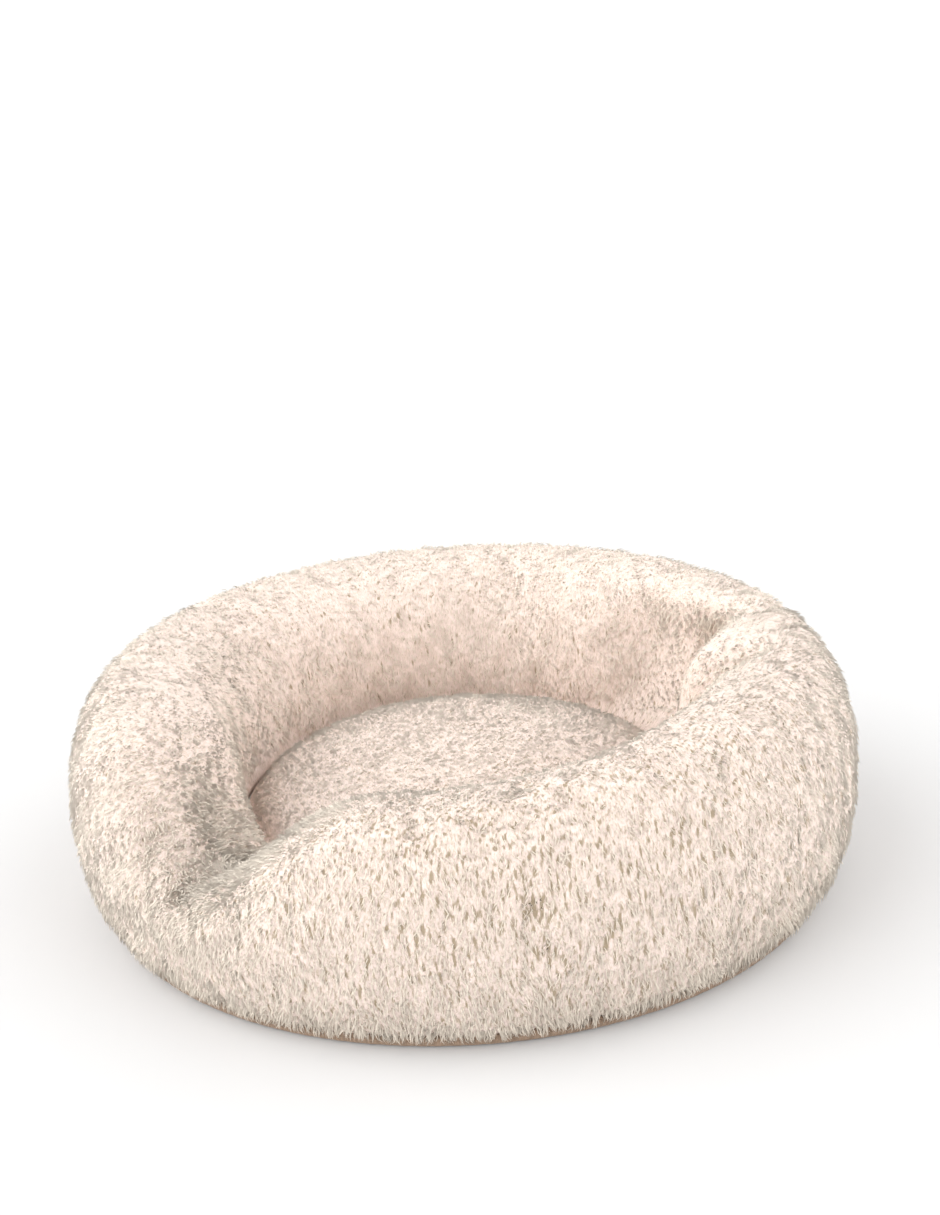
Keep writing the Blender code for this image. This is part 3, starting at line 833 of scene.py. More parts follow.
def cushion_moves(sizes):
    """The cushion's filled moves, worked out once; its pole moves as the ring around it does."""
    key = ("cushion", *(getattr(sizes, name) for name in sizes.__annotations__))
    if key not in known_moves:
        points = cushion_sheet(sizes, sizes.pile_depth, *FILLED_CUSHION)[:, :-1]
        moves = eased_around(filled_moves(points, points, (0,)), points)
        pole = np.broadcast_to(moves[:, -1:].mean(axis=0), (len(moves), 1, 3))
        known_moves[key] = np.concatenate([moves, pole], axis=1)
    return known_moves[key]


def outer_side(sizes, points):
    """0 on the well's side of the rim's core, 1 from a width outside it."""
    return smoothstep((np.hypot(points[..., 0], points[..., 1]) - sizes.core_radius) / OUTER_WIDTH)


def pressed(sizes, points):
    """How deep the rim's outer side is pressed in: the sum over its hollows of depth times
    exp(-(degrees away / half width)^2 - (height away / half height)^2)."""
    degrees = np.degrees(np.arctan2(points[..., 1], points[..., 0]))
    away = (degrees[..., None] - HOLLOWS[:, 0] + 180.0) % 360.0 - 180.0
    apart = (points[..., 2:] - HOLLOWS[:, 2]) / HOLLOWS[:, 3]
    hollow = (HOLLOWS[:, 4] * np.exp(-((away / HOLLOWS[:, 1]) ** 2) - apart**2)).sum(axis=-1)
    return hollow * outer_side(sizes, points)


def rim_skin(sizes, inset, around, along):
    """The rim's sheet as filled, with its hollows and with ripples across the front of its crest.

    The ripples are crossed waves, longer around the rim than down it, near one level; below it the
    pile parts in crossed waves that are longer down the rim than around it.
    """
    points = rim_sheet(sizes, inset, around, along)
    degrees = np.degrees(np.arctan2(points[..., 1], points[..., 0]))
    height = points[..., 2]
    outer = outer_side(sizes, points)
    hollow = pressed(sizes, points)
    run = np.linalg.norm(np.diff(points, axis=1, prepend=points[:, :1]), axis=-1).cumsum(axis=1)
    turned = np.radians(degrees) * sizes.outer_radius / RIPPLE_STRETCH
    flat = np.stack([turned, run, 0.0 * run], axis=-1)
    place = np.exp(-(((height - RIPPLE_LEVEL) / RIPPLE_SPREAD) ** 2)) * outer
    ripple = RIPPLE_HEIGHT * crossed_waves(flat, RIPPLE_LENGTH, RIPPLE_SEED) * place
    ripple = ripple * around_rim(degrees, RIPPLE_SHARES)
    upright = np.stack([turned * RIPPLE_STRETCH, run / RIPPLE_STRETCH, 0.0 * run], axis=-1)
    parting = crossed_waves(upright, PARTING_WIDTH, PARTING_SEED) * (outer - place)
    ripple = ripple + PARTING_DEPTH * parting
    moves = resampled(rim_moves(sizes), around, along)
    return points + moves + sheet_normals(points) * (ripple - hollow)[..., None]


def cushion_skin(sizes, inset, around, along):
    """The cushion's sheet as filled."""
    points = cushion_sheet(sizes, inset, around, along)
    return points + resampled(cushion_moves(sizes), around, along)


def coat_insets(sizes, along, rows):
    """How deep a coat lies at each row from the inner seam: a smooth step from its swell there to
    its full depth some rows on."""
    share = smoothstep(np.arange(along) / rows)
    return sizes.coat_depth * share - SEAM_SWELL * (1.0 - share)


def sheet_normals(points):
    """Unit normals of a sheet: the cross product of its steps around and along."""
    around = np.roll(points, -1, axis=0) - np.roll(points, 1, axis=0)
    along = np.gradient(points, axis=1)
    normal = np.cross(around, along)
    length = np.linalg.norm(normal, axis=-1, keepdims=True)
    normal /= np.maximum(length, 1e-12)
    return normal


def read_sheet(values, u, v):
    """Values of a grid at (u, v), each from 0 to 1, mixed from the four nearest; u wraps."""
    around, along = values.shape[:2]
    i, j = u * around, np.clip(v, 0.0, 1.0) * (along - 1)
    i0, j0 = np.floor(i).astype(int), np.minimum(np.floor(j).astype(int), along - 2)
    s, t = (i - i0)[:, None], (j - j0)[:, None]
    i0 = i0 % around
    i1 = (i0 + 1) % around
    low = values[i0, j0] * (1 - s) + values[i1, j0] * s
    high = values[i0, j0 + 1] * (1 - s) + values[i1, j0 + 1] * s
    return low * (1 - t) + high * t


# The pile


def scattered(points, spacing, seed):
    """Evenly scattered (u, v) on a sheet, about one for each spacing squared of its area.

    The k-th goes to the row where the k-th part of the area lies below it, and k golden turns
    around, as florets lie in a flower head; then each is moved at random by a third of the spacing.
    """
    step_around = np.linalg.norm(np.roll(points, -1, axis=0) - points, axis=-1)
    step_along = np.linalg.norm(np.diff(points, axis=1), axis=-1)
    girth = step_around.sum(axis=0)
    length = step_along.mean(axis=0)
    strips = (girth[1:] + girth[:-1]) / 2 * length
    below = np.concatenate(([0.0], np.cumsum(strips)))
    count = int(below[-1] / spacing**2)
    k = np.arange(count)
    rows = np.linspace(0.0, 1.0, points.shape[1])
    v = np.interp((k + 0.5) / count * below[-1], below, rows)
    u = k * GOLDEN_TURN % 1.0
    random = np.random.default_rng(seed)
    apart = SCATTER_SHARE * spacing
    u = u + random.normal(0.0, apart, count) / np.interp(v, rows, girth)
    v = v + random.normal(0.0, apart, count) / length.sum()
    return u % 1.0, np.clip(v, SCATTER_MARGIN, 1.0 - SCATTER_MARGIN)


def unit(vectors):
    """Vectors divided by their lengths."""
    return vectors / np.maximum(np.linalg.norm(vectors, axis=-1, keepdims=True), 1e-9)


def parting_share(sizes, places):
    """How much more the pile parts at a place than on average."""
    degrees = np.degrees(np.arctan2(places[..., 1], places[..., 0]))
    apart = smoothstep(np.hypot(places[..., 0], places[..., 1]) / sizes.well_radius)
    inside = PART_WELL * (1.0 - outer_side(sizes, places))
    # Painted shade follows this share too: more at the front and in the hollows, less on the lit sides
    # and on the well's side
    return around_rim(degrees, PART_SHARES) * apart + inside + HOLLOW_PARTS * pressed(sizes, places)


def parted(sizes, places, across, ahead):
    """How the pile draws away from the gaps where its locks part, and how far into one a place is.

    A gap opens as a smooth step where crossed waves, with a share of slower ones, rise over a
    level. A place moves down the slope of the waves by the gap's reach times how far in it is.
    Across and ahead are the sheet's two directions.
    """
    here, aside, onward = (
        crossed_waves((places + move) * PART_SHRINK, PART_WAVE, PART_SEED, PART_WAVES)
        for move in (0.0, across * PART_STEP, ahead * PART_STEP)
    )
    slope = unit((aside - here)[:, None] * across + (onward - here)[:, None] * ahead)
    breaks = PART_BREAK_SHARE * crossed_waves(places, PART_BREAKS, PART_SEED + 1, PART_WAVES)
    within = smoothstep((here + breaks + parting_share(sizes, places) - PART_LEVEL) / PART_EDGE)
    return -slope * (within * PART_REACH)[:, None], within


def mark_partings(sizes, thing):
    """Write the share of partings at each vertex of a coat to its attribute "parting"."""
    # The underfur reads this attribute to place its painted shade
    share = parting_share(sizes, vertex_places(thing.data))
    layer = thing.data.attributes.new("parting", "FLOAT", "POINT")
    layer.data.foreach_set("value", share.astype(np.float32))


def wandering(random, places, amounts, seed):
    """A slow field of crossed waves over the places, plus chance."""
    share, length, spread = amounts
    return share * crossed_waves(places, length, seed) + random.normal(0.0, spread, len(places))


def lock_field(sizes, points, seed, nap, upright, fall=LOCK_FALL, combed=None):
    """Roots, tips and shades of all strands of a sheet's pile.

    A lock's heading is fall times the slope g - (g.n) n for gravity g, plus the sheet's nap, plus
    two slow fields of crossed waves and chance, all in the sheet's own two directions; a direction
    that the sheet is combed in takes the place of its run where it is given. The tip stands over
    the root by the pile's depth, and ahead of it by the rest of the length, less where the heading
    is weak. The strands of a lock start within a spacing of its root and draw together towards its
    tip where they lie down, but spread out where they stand. In the gaps where the pile parts they
    are lower, and darker with painted shade; a share of the strands is darkened at random with
    painted shade, as specks.
    """
    random = np.random.default_rng(seed)
    normals = sheet_normals(points)
    runs = unit(np.gradient(points, axis=1))
    u, v = scattered(points, sizes.lock_spacing, seed + 1)
    count, strands = len(u), sizes.lock_strands
    root = read_sheet(points, u, v)
    normal = unit(read_sheet(normals, u, v))
    run = read_sheet(runs, u, v) if combed is None else np.broadcast_to(combed, root.shape)
    run = unit(run - normal * (run * normal).sum(axis=1, keepdims=True))
    turned = np.cross(run, normal)
    slope = -np.array([0.0, 0.0, 1.0]) + normal * normal[:, 2:3]
    sway = wandering(random, root, LOCK_SWAY, seed + 2)
    push = wandering(random, root, LOCK_PUSH, seed + 3) - nap
    heading = fall * slope + sway[:, None] * turned + push[:, None] * run
    strength = np.linalg.norm(heading, axis=1, keepdims=True)
    heading = unit(heading)
    steep = smoothstep(strength / LOCK_FALL)
    height = sizes.pile_depth * (upright + (LOCK_LYING_HEIGHT - upright) * steep)
    height = height * random.uniform(*LOCK_HEIGHTS, (count, 1))
    length = sizes.pile_length * random.uniform(*LOCK_LENGTHS, (count, 1))
    forward = np.sqrt(np.maximum(length**2 - height**2, 0.0))
    forward = forward * (LOCK_FORWARD + (1.0 - LOCK_FORWARD) * steep)
    tip = root + normal * height + heading * forward
    shade = LOCK_SHADE_MEAN + wandering(random, root, LOCK_SHADE, seed + 4)
    each = np.repeat(np.arange(count), strands)
    total = count * strands
    guard = np.arange(total) % strands < sizes.lock_guards
    turn = random.uniform(0.0, math.tau, total)
    spread = np.sqrt(random.uniform(0.0, 1.0, total)) * sizes.lock_spacing * STRAND_SPREAD
    across = np.cross(normal, heading)
    offset = (np.cos(turn) * spread)[:, None] * across[each]
    offset += (np.sin(turn) * spread)[:, None] * heading[each]
    strand_root = root[each] + offset
    standing, lying = STRAND_GATHER
    gather = standing - lying * steep[each]
    gather = gather + random.normal(0.0, STRAND_GATHER_CHANCE, total)[:, None]
    strand_tip = tip[each] + offset * gather
    strand_tip -= normal[each] * (random.uniform(0.0, STRAND_SINK, total) * ~guard)[:, None]
    strand_tip -= heading[each] * random.uniform(0.0, STRAND_SHORTER, total)[:, None]
    strand_tip[:, 2] = np.maximum(strand_tip[:, 2], random.uniform(*STRAND_FLOOR, total))
    shade = shade[each] + random.normal(0.0, STRAND_SHADE_CHANCE, total)
    # Painted shade: a share of the strands is darkened at random, as specks of shade between the locks
    shade = shade * np.where(random.uniform(size=total) < SHADE_SPECK_SHARE, SHADE_SPECK_TONE, 1.0)
    onward, over = STRAND_BEND
    middle = strand_root + (strand_tip - strand_root) * onward + normal[each] * height[each] * over
    bend, within = parted(sizes, middle, across[each], heading[each])
    middle += bend
    bend, tip_within = parted(sizes, strand_tip, across[each], heading[each])
    within = np.maximum(within, tip_within)
    # Painted shade: strands in the gaps are darkened
    shade = shade * (1.0 - PART_SHADE * within)
    sunk = PART_DEPTH * within + HOLLOW_SINK * pressed(sizes, strand_tip)
    strand_tip += bend - normal[each] * sunk[:, None]
    width = sizes.strand_width * random.uniform(*STRAND_WIDTHS, total)
    return {
        "root": strand_root - normal[each] * sizes.backing_thickness * STRAND_ROOTED,
        "middle": middle,
        "tip": strand_tip,
        "side": across[each],
        "normal": normal[each],
        "u": u[each],
        "guard": guard,
        "shade": np.clip(shade, 0.0, 1.0),
        "width": width * np.where(guard, 1.0, UNDERFUR_WIDTH),
    }


GUARD_FACES = np.array(
    [(0, 1, 4), (0, 4, 3), (1, 2, 5), (1, 5, 4), (2, 0, 3), (2, 3, 5),
     (3, 4, 6), (4, 5, 6), (5, 3, 6), (2, 1, 0)]
)
GUARD_ACROSS = np.array(
    [(0, 1, 1), (0, 1, 0), (1, 2, 2), (1, 2, 1), (2, 3, 2), (2, 2, 3),
     (0, 1, 0.5), (1, 2, 1.5), (2, 3, 2.5), (0, 1.5, 3)]
)
GUARD_ALONG = np.array(
    [(0, 0, 1), (0, 1, 1), (0, 0, 1), (0, 1, 1), (0, 0, 1), (0, 1, 1),
     (1, 1, 2), (1, 1, 2), (1, 1, 2), (0, 0.05, 0)]
)
UNDER_FACES = np.array([(0, 1, 3), (1, 2, 3), (2, 0, 3), (2, 1, 0)])
UNDER_ACROSS = np.array([(0, 1, 0.5), (1, 2, 1.5), (2, 3, 2.5), (0, 1.5, 3)])
UNDER_ALONG = np.array([(0, 0, 2), (0, 0, 2), (0, 0, 2), (0, 0.05, 0)])


def spikes(pile, chosen, bent):
    """Vertices, corners, UVs and shading normals of the chosen strands as three-sided spikes.

    A bent one has a triangle at the root, a smaller one at the middle and a point at the tip; a
    straight one leaves the middle out. The UV map has the strand's shade across and its length up.
    The normals are PILE_SOFTNESS of the sheet's normal, and the rest is the spike's own.
    """
    root, middle, tip, side = (pile[key][chosen] for key in ("root", "middle", "tip", "side"))
    width, shade, sheet = (pile[key][chosen] for key in ("width", "shade", "normal"))
    count = len(root)
    turn = np.arange(3) * math.tau / 3 + math.pi / 6
    cos, sin = np.cos(turn)[:, None], np.sin(turn)[:, None]
    half = width[:, None, None] / 2
    middle = middle if bent else (root + tip) / 2
    below = side[:, None] * cos + unit(np.cross(middle - root, side))[:, None] * sin
    above = side[:, None] * cos + unit(np.cross(tip - middle, side))[:, None] * sin
    rings = [root[:, None] + half * below, middle[:, None] + STRAND_TAPER * half * above, tip[:, None]]
    own = [below, above, unit(tip - middle)[:, None]]
    faces, across, along = GUARD_FACES, GUARD_ACROSS, GUARD_ALONG
    if not bent:
        del rings[1], own[1]
        faces, across, along = UNDER_FACES, UNDER_ACROSS, UNDER_ALONG
    verts = np.concatenate(rings, axis=1)
    normals = unit(PILE_SOFTNESS * sheet[:, None] + (1.0 - PILE_SOFTNESS) * np.concatenate(own, 1))
    corners = faces.ravel() + verts.shape[1] * np.arange(count)[:, None]
    u = shade[:, None] * SHADE_SPAN + (1.0 - SHADE_SPAN) * across.ravel() / 3.0
    uv = np.stack([u, np.broadcast_to(along.ravel() / 2.0, u.shape)], axis=-1)
    return verts.reshape(-1, 3), corners.ravel(), uv.reshape(-1, 2), normals.reshape(-1, 3)


def strand_object(name, pile, chosen):
    """One piece of fur: the chosen strands, the guard hairs bent and the underfur straight."""
    guard = spikes(pile, chosen & pile["guard"], bent=True)
    under = spikes(pile, chosen & ~pile["guard"], bent=False)
    verts, uv, normals = (np.concatenate([guard[i], under[i]]) for i in (0, 2, 3))
    corners = np.concatenate([guard[1], under[1] + len(guard[0])])
    thing = mesh_object(name, verts, corners, np.full(len(corners) // 3, 3))
    add_uv(thing, "OFBake", uv)
    thing.data.normals_split_custom_set_from_vertices(normals)
    return thing


# Materials


def new_material(name, roughness, metallic=0.0):
    """A Principled material and a helper that adds and links its nodes."""
    material = bpy.data.materials.new(name)
    material.use_nodes = True
    tree = material.node_tree
    shader = tree.nodes["Principled BSDF"]
    shader.inputs["Roughness"].default_value = roughness
    shader.inputs["Metallic"].default_value = metallic
    return material, tree, shader


def add_node(tree, kind, **values):
    """A node with its settings, or its inputs where a value's name is an input's."""
    node = tree.nodes.new(kind)
    for key, value in values.items():
        if key in node.inputs:
            node.inputs[key].default_value = value
        else:
            setattr(node, key, value)
    return node


def colour_ramp(tree, stops, value):
    """A ramp through (position, colour) stops, driven by a socket."""
    ramp = tree.nodes.new("ShaderNodeValToRGB")
    elements = ramp.color_ramp.elements
    while len(elements) < len(stops):
        elements.new(0.5)
    for element, (position, colour) in zip(elements, stops):
        element.position = position
        element.color = (*colour, 1.0)
    tree.links.new(value, ramp.inputs["Fac"])
    return ramp.outputs["Color"]


def maths(tree, operation, *values):
    """The result of a Math node whose inputs are sockets or numbers."""
    node = add_node(tree, "ShaderNodeMath", operation=operation)
    for socket, value in zip(node.inputs, values):
        if isinstance(value, bpy.types.NodeSocket):
            tree.links.new(value, socket)
        else:
            socket.default_value = value
    return node.outputs["Value"]


def object_place(tree):
    """A socket with the piece's own Object coordinates."""
    return tree.nodes.new("ShaderNodeTexCoord").outputs["Object"]


def stretched(tree, place, scale):
    """A socket's places times a scale for each direction."""
    stretch = add_node(tree, "ShaderNodeMapping")
    stretch.inputs["Scale"].default_value = scale
    tree.links.new(place, stretch.inputs["Vector"])
    return stretch.outputs["Vector"]


def noise(tree, place, **settings):
    """Noise from 0 to 1 at a socket's places."""
    node = add_node(tree, "ShaderNodeTexNoise", **settings)
    tree.links.new(place, node.inputs["Vector"])
    return node.outputs["Fac"]


def add_bump(tree, shader, height, strength, distance):
    """Bump on a shader from a socket's height."""
    bump = add_node(tree, "ShaderNodeBump", Strength=strength, Distance=distance)
    tree.links.new(height, bump.inputs["Height"])
    tree.links.new(bump.outputs["Normal"], shader.inputs["Normal"])


def scaled(colour, share):
    """A colour times a share, kept below 1."""
    return tuple(min(channel * share, 1.0) for channel in colour)


def add_tone(tree, shader, value, colour, stops):
    """The base colour from a ramp through (position, share of the colour) stops."""
    tone = colour_ramp(tree, [(place, scaled(colour, share)) for place, share in stops], value)
    tree.links.new(tone, shader.inputs["Base Color"])


def mixed(first, second, stops):
    """Stops (position, colour between two) from (position, share of the second) stops."""
    return [
        (place, tuple(a * (1.0 - share) + b * share for a, b in zip(first, second)))
        for place, share in stops
    ]


# The ramps of the pile: the tip's share of the colour along a strand, which darkens it towards the
# root colour as painted shade deep in the pile; a strand's shades, whose dark end is the painted
# shade of the specks and the gaps; and the tip's share of the colour in the underfur's flecks, which
# are short and lie down the sheet, their darker ones painted shade between the fibres
STRAND_STOPS = ((0.0, 0.0), (0.30, 0.40), (0.62, 0.88), (1.0, 1.0))
# Painted shade: the dark end of the shades darkens the specks and the strands in the gaps
SHADE_STOPS = ((0.0, (0.34, 0.31, 0.23)), (0.4, (0.94, 0.93, 0.91)), (1.0, (1.0, 1.0, 1.0)))
FLECK_STOPS = ((0.36, 0.3), (0.48, 0.7), (0.61, 0.94))
FLECK_SCALE = (900.0, 260.0, 1.0)


def fur_material(name, tip, root):
    """Pile: a ramp from root to tip along the strand's UV, times a shade that is the UV's other way."""
    material, tree, shader = new_material(name, 0.95)
    shader.inputs["Sheen Weight"].default_value = 0.25
    shader.inputs["Sheen Roughness"].default_value = 0.6
    shader.inputs["Specular IOR Level"].default_value = 0.15
    uv = add_node(tree, "ShaderNodeUVMap", uv_map="OFBake")
    split = tree.nodes.new("ShaderNodeSeparateXYZ")
    tree.links.new(uv.outputs["UV"], split.inputs["Vector"])
    # Painted shade: each strand darkens from its tip to the root colour
    along = colour_ramp(tree, mixed(root, tip, STRAND_STOPS), split.outputs["Y"])
    tint = colour_ramp(tree, SHADE_STOPS, split.outputs["X"])
    blend = add_node(tree, "ShaderNodeMix", data_type="RGBA", blend_type="MULTIPLY")
    blend.inputs["Factor"].default_value = 1.0
    tree.links.new(along, blend.inputs["A"])
    tree.links.new(tint, blend.inputs["B"])
    tree.links.new(blend.outputs["Result"], shader.inputs["Base Color"])
    return material


def wave_nodes(tree, place, shrink, wavelength, seed, waves):
    """The nodes of crossed_waves, read at a socket's places times a shrink."""
    vectors, phases = wave_vectors(wavelength, seed, waves)
    total = 0.0
    for vector, phase in zip(vectors * shrink, phases):
        along = add_node(tree, "ShaderNodeVectorMath", operation="DOT_PRODUCT")
        tree.links.new(place, along.inputs[0])
        along.inputs[1].default_value = vector
        wave = maths(tree, "SINE", maths(tree, "ADD", along.outputs["Value"], float(phase)))
        total = maths(tree, "ADD", wave, total)
    return maths(tree, "MULTIPLY", total, 1.0 / math.sqrt(2.0 * waves))


def soft_step(tree, value, low, high):
    """A smooth step of a socket from 0 at low to 1 at high."""
    step = add_node(tree, "ShaderNodeMapRange", interpolation_type="SMOOTHSTEP")
    step.inputs["From Min"].default_value = low
    step.inputs["From Max"].default_value = high
    tree.links.new(value, step.inputs["Value"])
    return step.outputs["Result"]


def underfur_material(name, tip, root, gap_shade):
    """Dense underfur between the locks: short flecks down the sheet, and painted shade where the pile
    parts.

    The flecks are noise on the sheet's own metres, stretched along its fall; their darker ones are
    painted shade between the fibres. The gaps are those that the pile draws away from, with the
    attribute "parting" for how many more there are; there the colour is mixed towards the painted
    shade of the gaps.
    """
    material, tree, shader = new_material(name, 0.95)
    shader.inputs["Sheen Weight"].default_value = 0.05
    shader.inputs["Specular IOR Level"].default_value = 0.10
    uv = add_node(tree, "ShaderNodeUVMap", uv_map="cloth")
    sheet = stretched(tree, uv.outputs["UV"], FLECK_SCALE)
    flecks = noise(tree, sheet, Scale=1.0, Detail=2.0, Roughness=0.6, Distortion=0.8)
    # Painted shade: the darker flecks take the root's colour, as shade between the fibres; the rest is
    # the underfur's own uneven tone
    colour = colour_ramp(tree, mixed(root, tip, FLECK_STOPS), flecks)
    place = object_place(tree)
    waves = wave_nodes(tree, place, PART_SHRINK, PART_WAVE, PART_SEED, PART_WAVES)
    breaks = wave_nodes(tree, place, 1.0, PART_BREAKS, PART_SEED + 1, PART_WAVES)
    waves = maths(tree, "MULTIPLY_ADD", breaks, PART_BREAK_SHARE, waves)
    more = add_node(tree, "ShaderNodeAttribute", attribute_name="parting")
    waves = maths(tree, "ADD", waves, more.outputs["Fac"])
    waves = maths(tree, "ADD", waves, PART_FRAY / 2.0)
    waves = maths(tree, "MULTIPLY_ADD", flecks, -PART_FRAY, waves)
    within = soft_step(tree, waves, PART_LEVEL, PART_LEVEL + PART_EDGE)
    # Painted shade: the underfur is mixed towards the gap's shade colour where the pile parts
    gap_shade_mix = add_node(tree, "ShaderNodeMix", data_type="RGBA")
    tree.links.new(maths(tree, "MULTIPLY", within, PART_COAT_SHADE), gap_shade_mix.inputs["Factor"])
    tree.links.new(colour, gap_shade_mix.inputs["A"])
    gap_shade_mix.inputs["B"].default_value = (*gap_shade, 1.0)
    tree.links.new(gap_shade_mix.outputs["Result"], shader.inputs["Base Color"])
    add_bump(tree, shader, flecks, 0.5, 0.0008)
    return material


def fibre_material(name, colour):
    """Polyester fibre: fine crossed hairs from distorted noise, pale with slight hollows."""
    material, tree, shader = new_material(name, 0.9)
    shader.inputs["Sheen Weight"].default_value = 0.3
    hairs = noise(tree, object_place(tree), Scale=140.0, Detail=6.0, Roughness=0.7, Distortion=1.5)
    add_tone(tree, shader, hairs, colour, ((0.35, 0.82), (0.65, 1.08)))
    add_bump(tree, shader, hairs, 0.5, 0.0015)
    return material


BLOTCH_SHARE = 0.45


def woven_material(name, colour, thread):
    """Plain weave: two sets of sine bands at right angles, one thread apart, over and under.

    Its tone is the product of the bands plus a share of slow blotches: the bands make it darker
    low between the threads, painted shade, and lighter on their crowns, painted light; the
    blotches are the cloth's own uneven tone.
    """
    material, tree, shader = new_material(name, 0.85)
    shader.inputs["Sheen Weight"].default_value = 0.15
    place = object_place(tree)
    bands = []
    for direction in ("X", "Y"):
        wave = add_node(
            tree,
            "ShaderNodeTexWave",
            wave_type="BANDS",
            bands_direction=direction,
            wave_profile="SIN",
            Scale=math.pi / (10.0 * thread),
            Distortion=0.6,
            Detail=1.0,
        )
        wave.inputs["Detail Scale"].default_value = 0.6
        tree.links.new(place, wave.inputs["Vector"])
        bands.append(wave.outputs["Fac"])
    over = maths(tree, "MULTIPLY", *bands)
    blotch = noise(tree, place, Scale=35.0, Detail=4.0)
    height = maths(tree, "MULTIPLY_ADD", blotch, BLOTCH_SHARE, over)
    # Painted shade and light: the tone follows the weave's height, darker between the threads and lighter
    # on their crowns
    add_tone(tree, shader, height, colour, ((0.15, 0.72), (0.60, 1.0), (1.0, 1.22)))
    add_bump(tree, shader, over, 0.4, thread / 3)
    return material


def moulded_material(name, colour, roughness):
    """Moulded nylon or rubber: an even colour with a faint mottle."""
    material, tree, shader = new_material(name, roughness)
    mottle = noise(tree, object_place(tree), Scale=400.0, Detail=2.0)
    add_tone(tree, shader, mottle, colour, ((0.3, 0.92), (0.7, 1.06)))
    return material


def thread_material(name, colour):
    """Sewing thread: a satin colour, mottled as finely as its twist."""
    material, tree, shader = new_material(name, 0.55)
    shader.inputs["Sheen Weight"].default_value = 0.3
    mottle = noise(tree, object_place(tree), Scale=3000.0, Detail=1.0)
    add_tone(tree, shader, mottle, colour, ((0.35, 0.8), (0.65, 1.1)))
    return material


BRUSH_SCALE = (300.0, 5000.0, 5000.0)


def metal_material(name, colour):
    """Plated metal: brushed along X, so its colour and its roughness run in streaks."""
    material, tree, shader = new_material(name, 0.3, metallic=1.0)
    brushed = stretched(tree, object_place(tree), BRUSH_SCALE)
    streaks = noise(tree, brushed, Scale=1.0, Detail=3.0)
    add_tone(tree, shader, streaks, colour, ((0.3, 0.9), (0.7, 1.08)))
    rough = add_node(tree, "ShaderNodeMapRange")
    rough.inputs["To Min"].default_value = 0.22
    rough.inputs["To Max"].default_value = 0.42
    tree.links.new(streaks, rough.inputs["Value"])
    tree.links.new(rough.outputs["Result"], shader.inputs["Roughness"])
    return material


def named_material(name, maker, *values):
    """The material of that name, made once."""
    return bpy.data.materials.get(name) or maker(name, *values)


def coat_finish(colours):
    """The underfur of both coats."""
    return named_material(
        "underfur", underfur_material, colours.fur_tip, colours.fur_root_shade, colours.fur_gap_shade
    )


def pile_finish(colours):
    """The strands of the pile."""
    return named_material("cream_fur", fur_material, colours.fur_tip, colours.fur_root_shade)


def thread_finish(colours):
    """The sewing thread, a little lighter than the binding."""
    return named_material("thread", thread_material, scaled(colours.binding, THREAD_LIGHTNESS))


def finish(piece, material, body, slot, *nodes):
    """Give a new piece its material and body, and hide the CAD nodes that it stands for; slot is not
    used.
    """
    piece.data.materials.append(material)
    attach(piece, body)
    if nodes:
        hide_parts(*nodes)


def shell_section(outside, inside):
    """A closed shell: the outside sheet, then the inside one backwards."""
    return np.concatenate([outside, inside[:, ::-1]], axis=1)


# The points around and along the sheets that the pile is rooted on and the coats are made of, and
# how the pile of each is combed: its seed, its nap and how high it stands
FUR_AROUND = 720
FUR_ALONG = 144
COAT_AROUND = 360
COAT_ALONG = 84
LINED_ALONG = 20
BOLSTER_SECTORS = 9
BOLSTER_COMB = {"seed": 11, "nap": 0.40, "upright": 0.78}
CUSHION_HEADING = unit(np.array([0.4, -1.0, 0.0]))
CUSHION_COMB = {"seed": 71, "nap": -0.25, "upright": 0.75, "fall": 0.15, "combed": CUSHION_HEADING}


class PETBED_OT_bolster(bpy.types.Operator):
    """Make the stuffed rim's knitted backing with its dense underfur"""

    bl_idname = "pet_bed.bolster"
    bl_label = "Bolster"

    def execute(self, context):
        sizes, colours = context.scene.bed_sizes, context.scene.bed_colours
        insets = coat_insets(sizes, COAT_ALONG, SEAM_ROWS_RIM)[::-1]
        outside = rim_skin(sizes, insets, COAT_AROUND, COAT_ALONG)
        inside = rim_skin(sizes, sizes.pile_depth + sizes.backing_thickness, COAT_AROUND, LINED_ALONG)
        coat = grid_object("bolster_coat", shell_section(outside, inside), close_along=True)
        mark_partings(sizes, coat)
        finish(coat, coat_finish(colours), "bed", "cream_fur", "bolster_cover")
        return {"FINISHED"}


class PETBED_OT_bolster_fur(bpy.types.Operator):
    """Root the long pile on the rim, one piece for each sector"""

    bl_idname = "pet_bed.bolster_fur"
    bl_label = "Bolster fur"

    def execute(self, context):
        sizes, colours = context.scene.bed_sizes, context.scene.bed_colours
        sheet = rim_skin(sizes, sizes.pile_depth, FUR_AROUND, FUR_ALONG)
        pile = lock_field(sizes, sheet, **BOLSTER_COMB)
        material = pile_finish(colours)
        sector = np.floor(pile["u"] * BOLSTER_SECTORS).astype(int)
        for number in range(BOLSTER_SECTORS):
            fur = strand_object(f"bolster_fur_{number + 1}", pile, sector == number)
            finish(fur, material, "bed", "cream_fur", "bolster_cover")
        return {"FINISHED"}


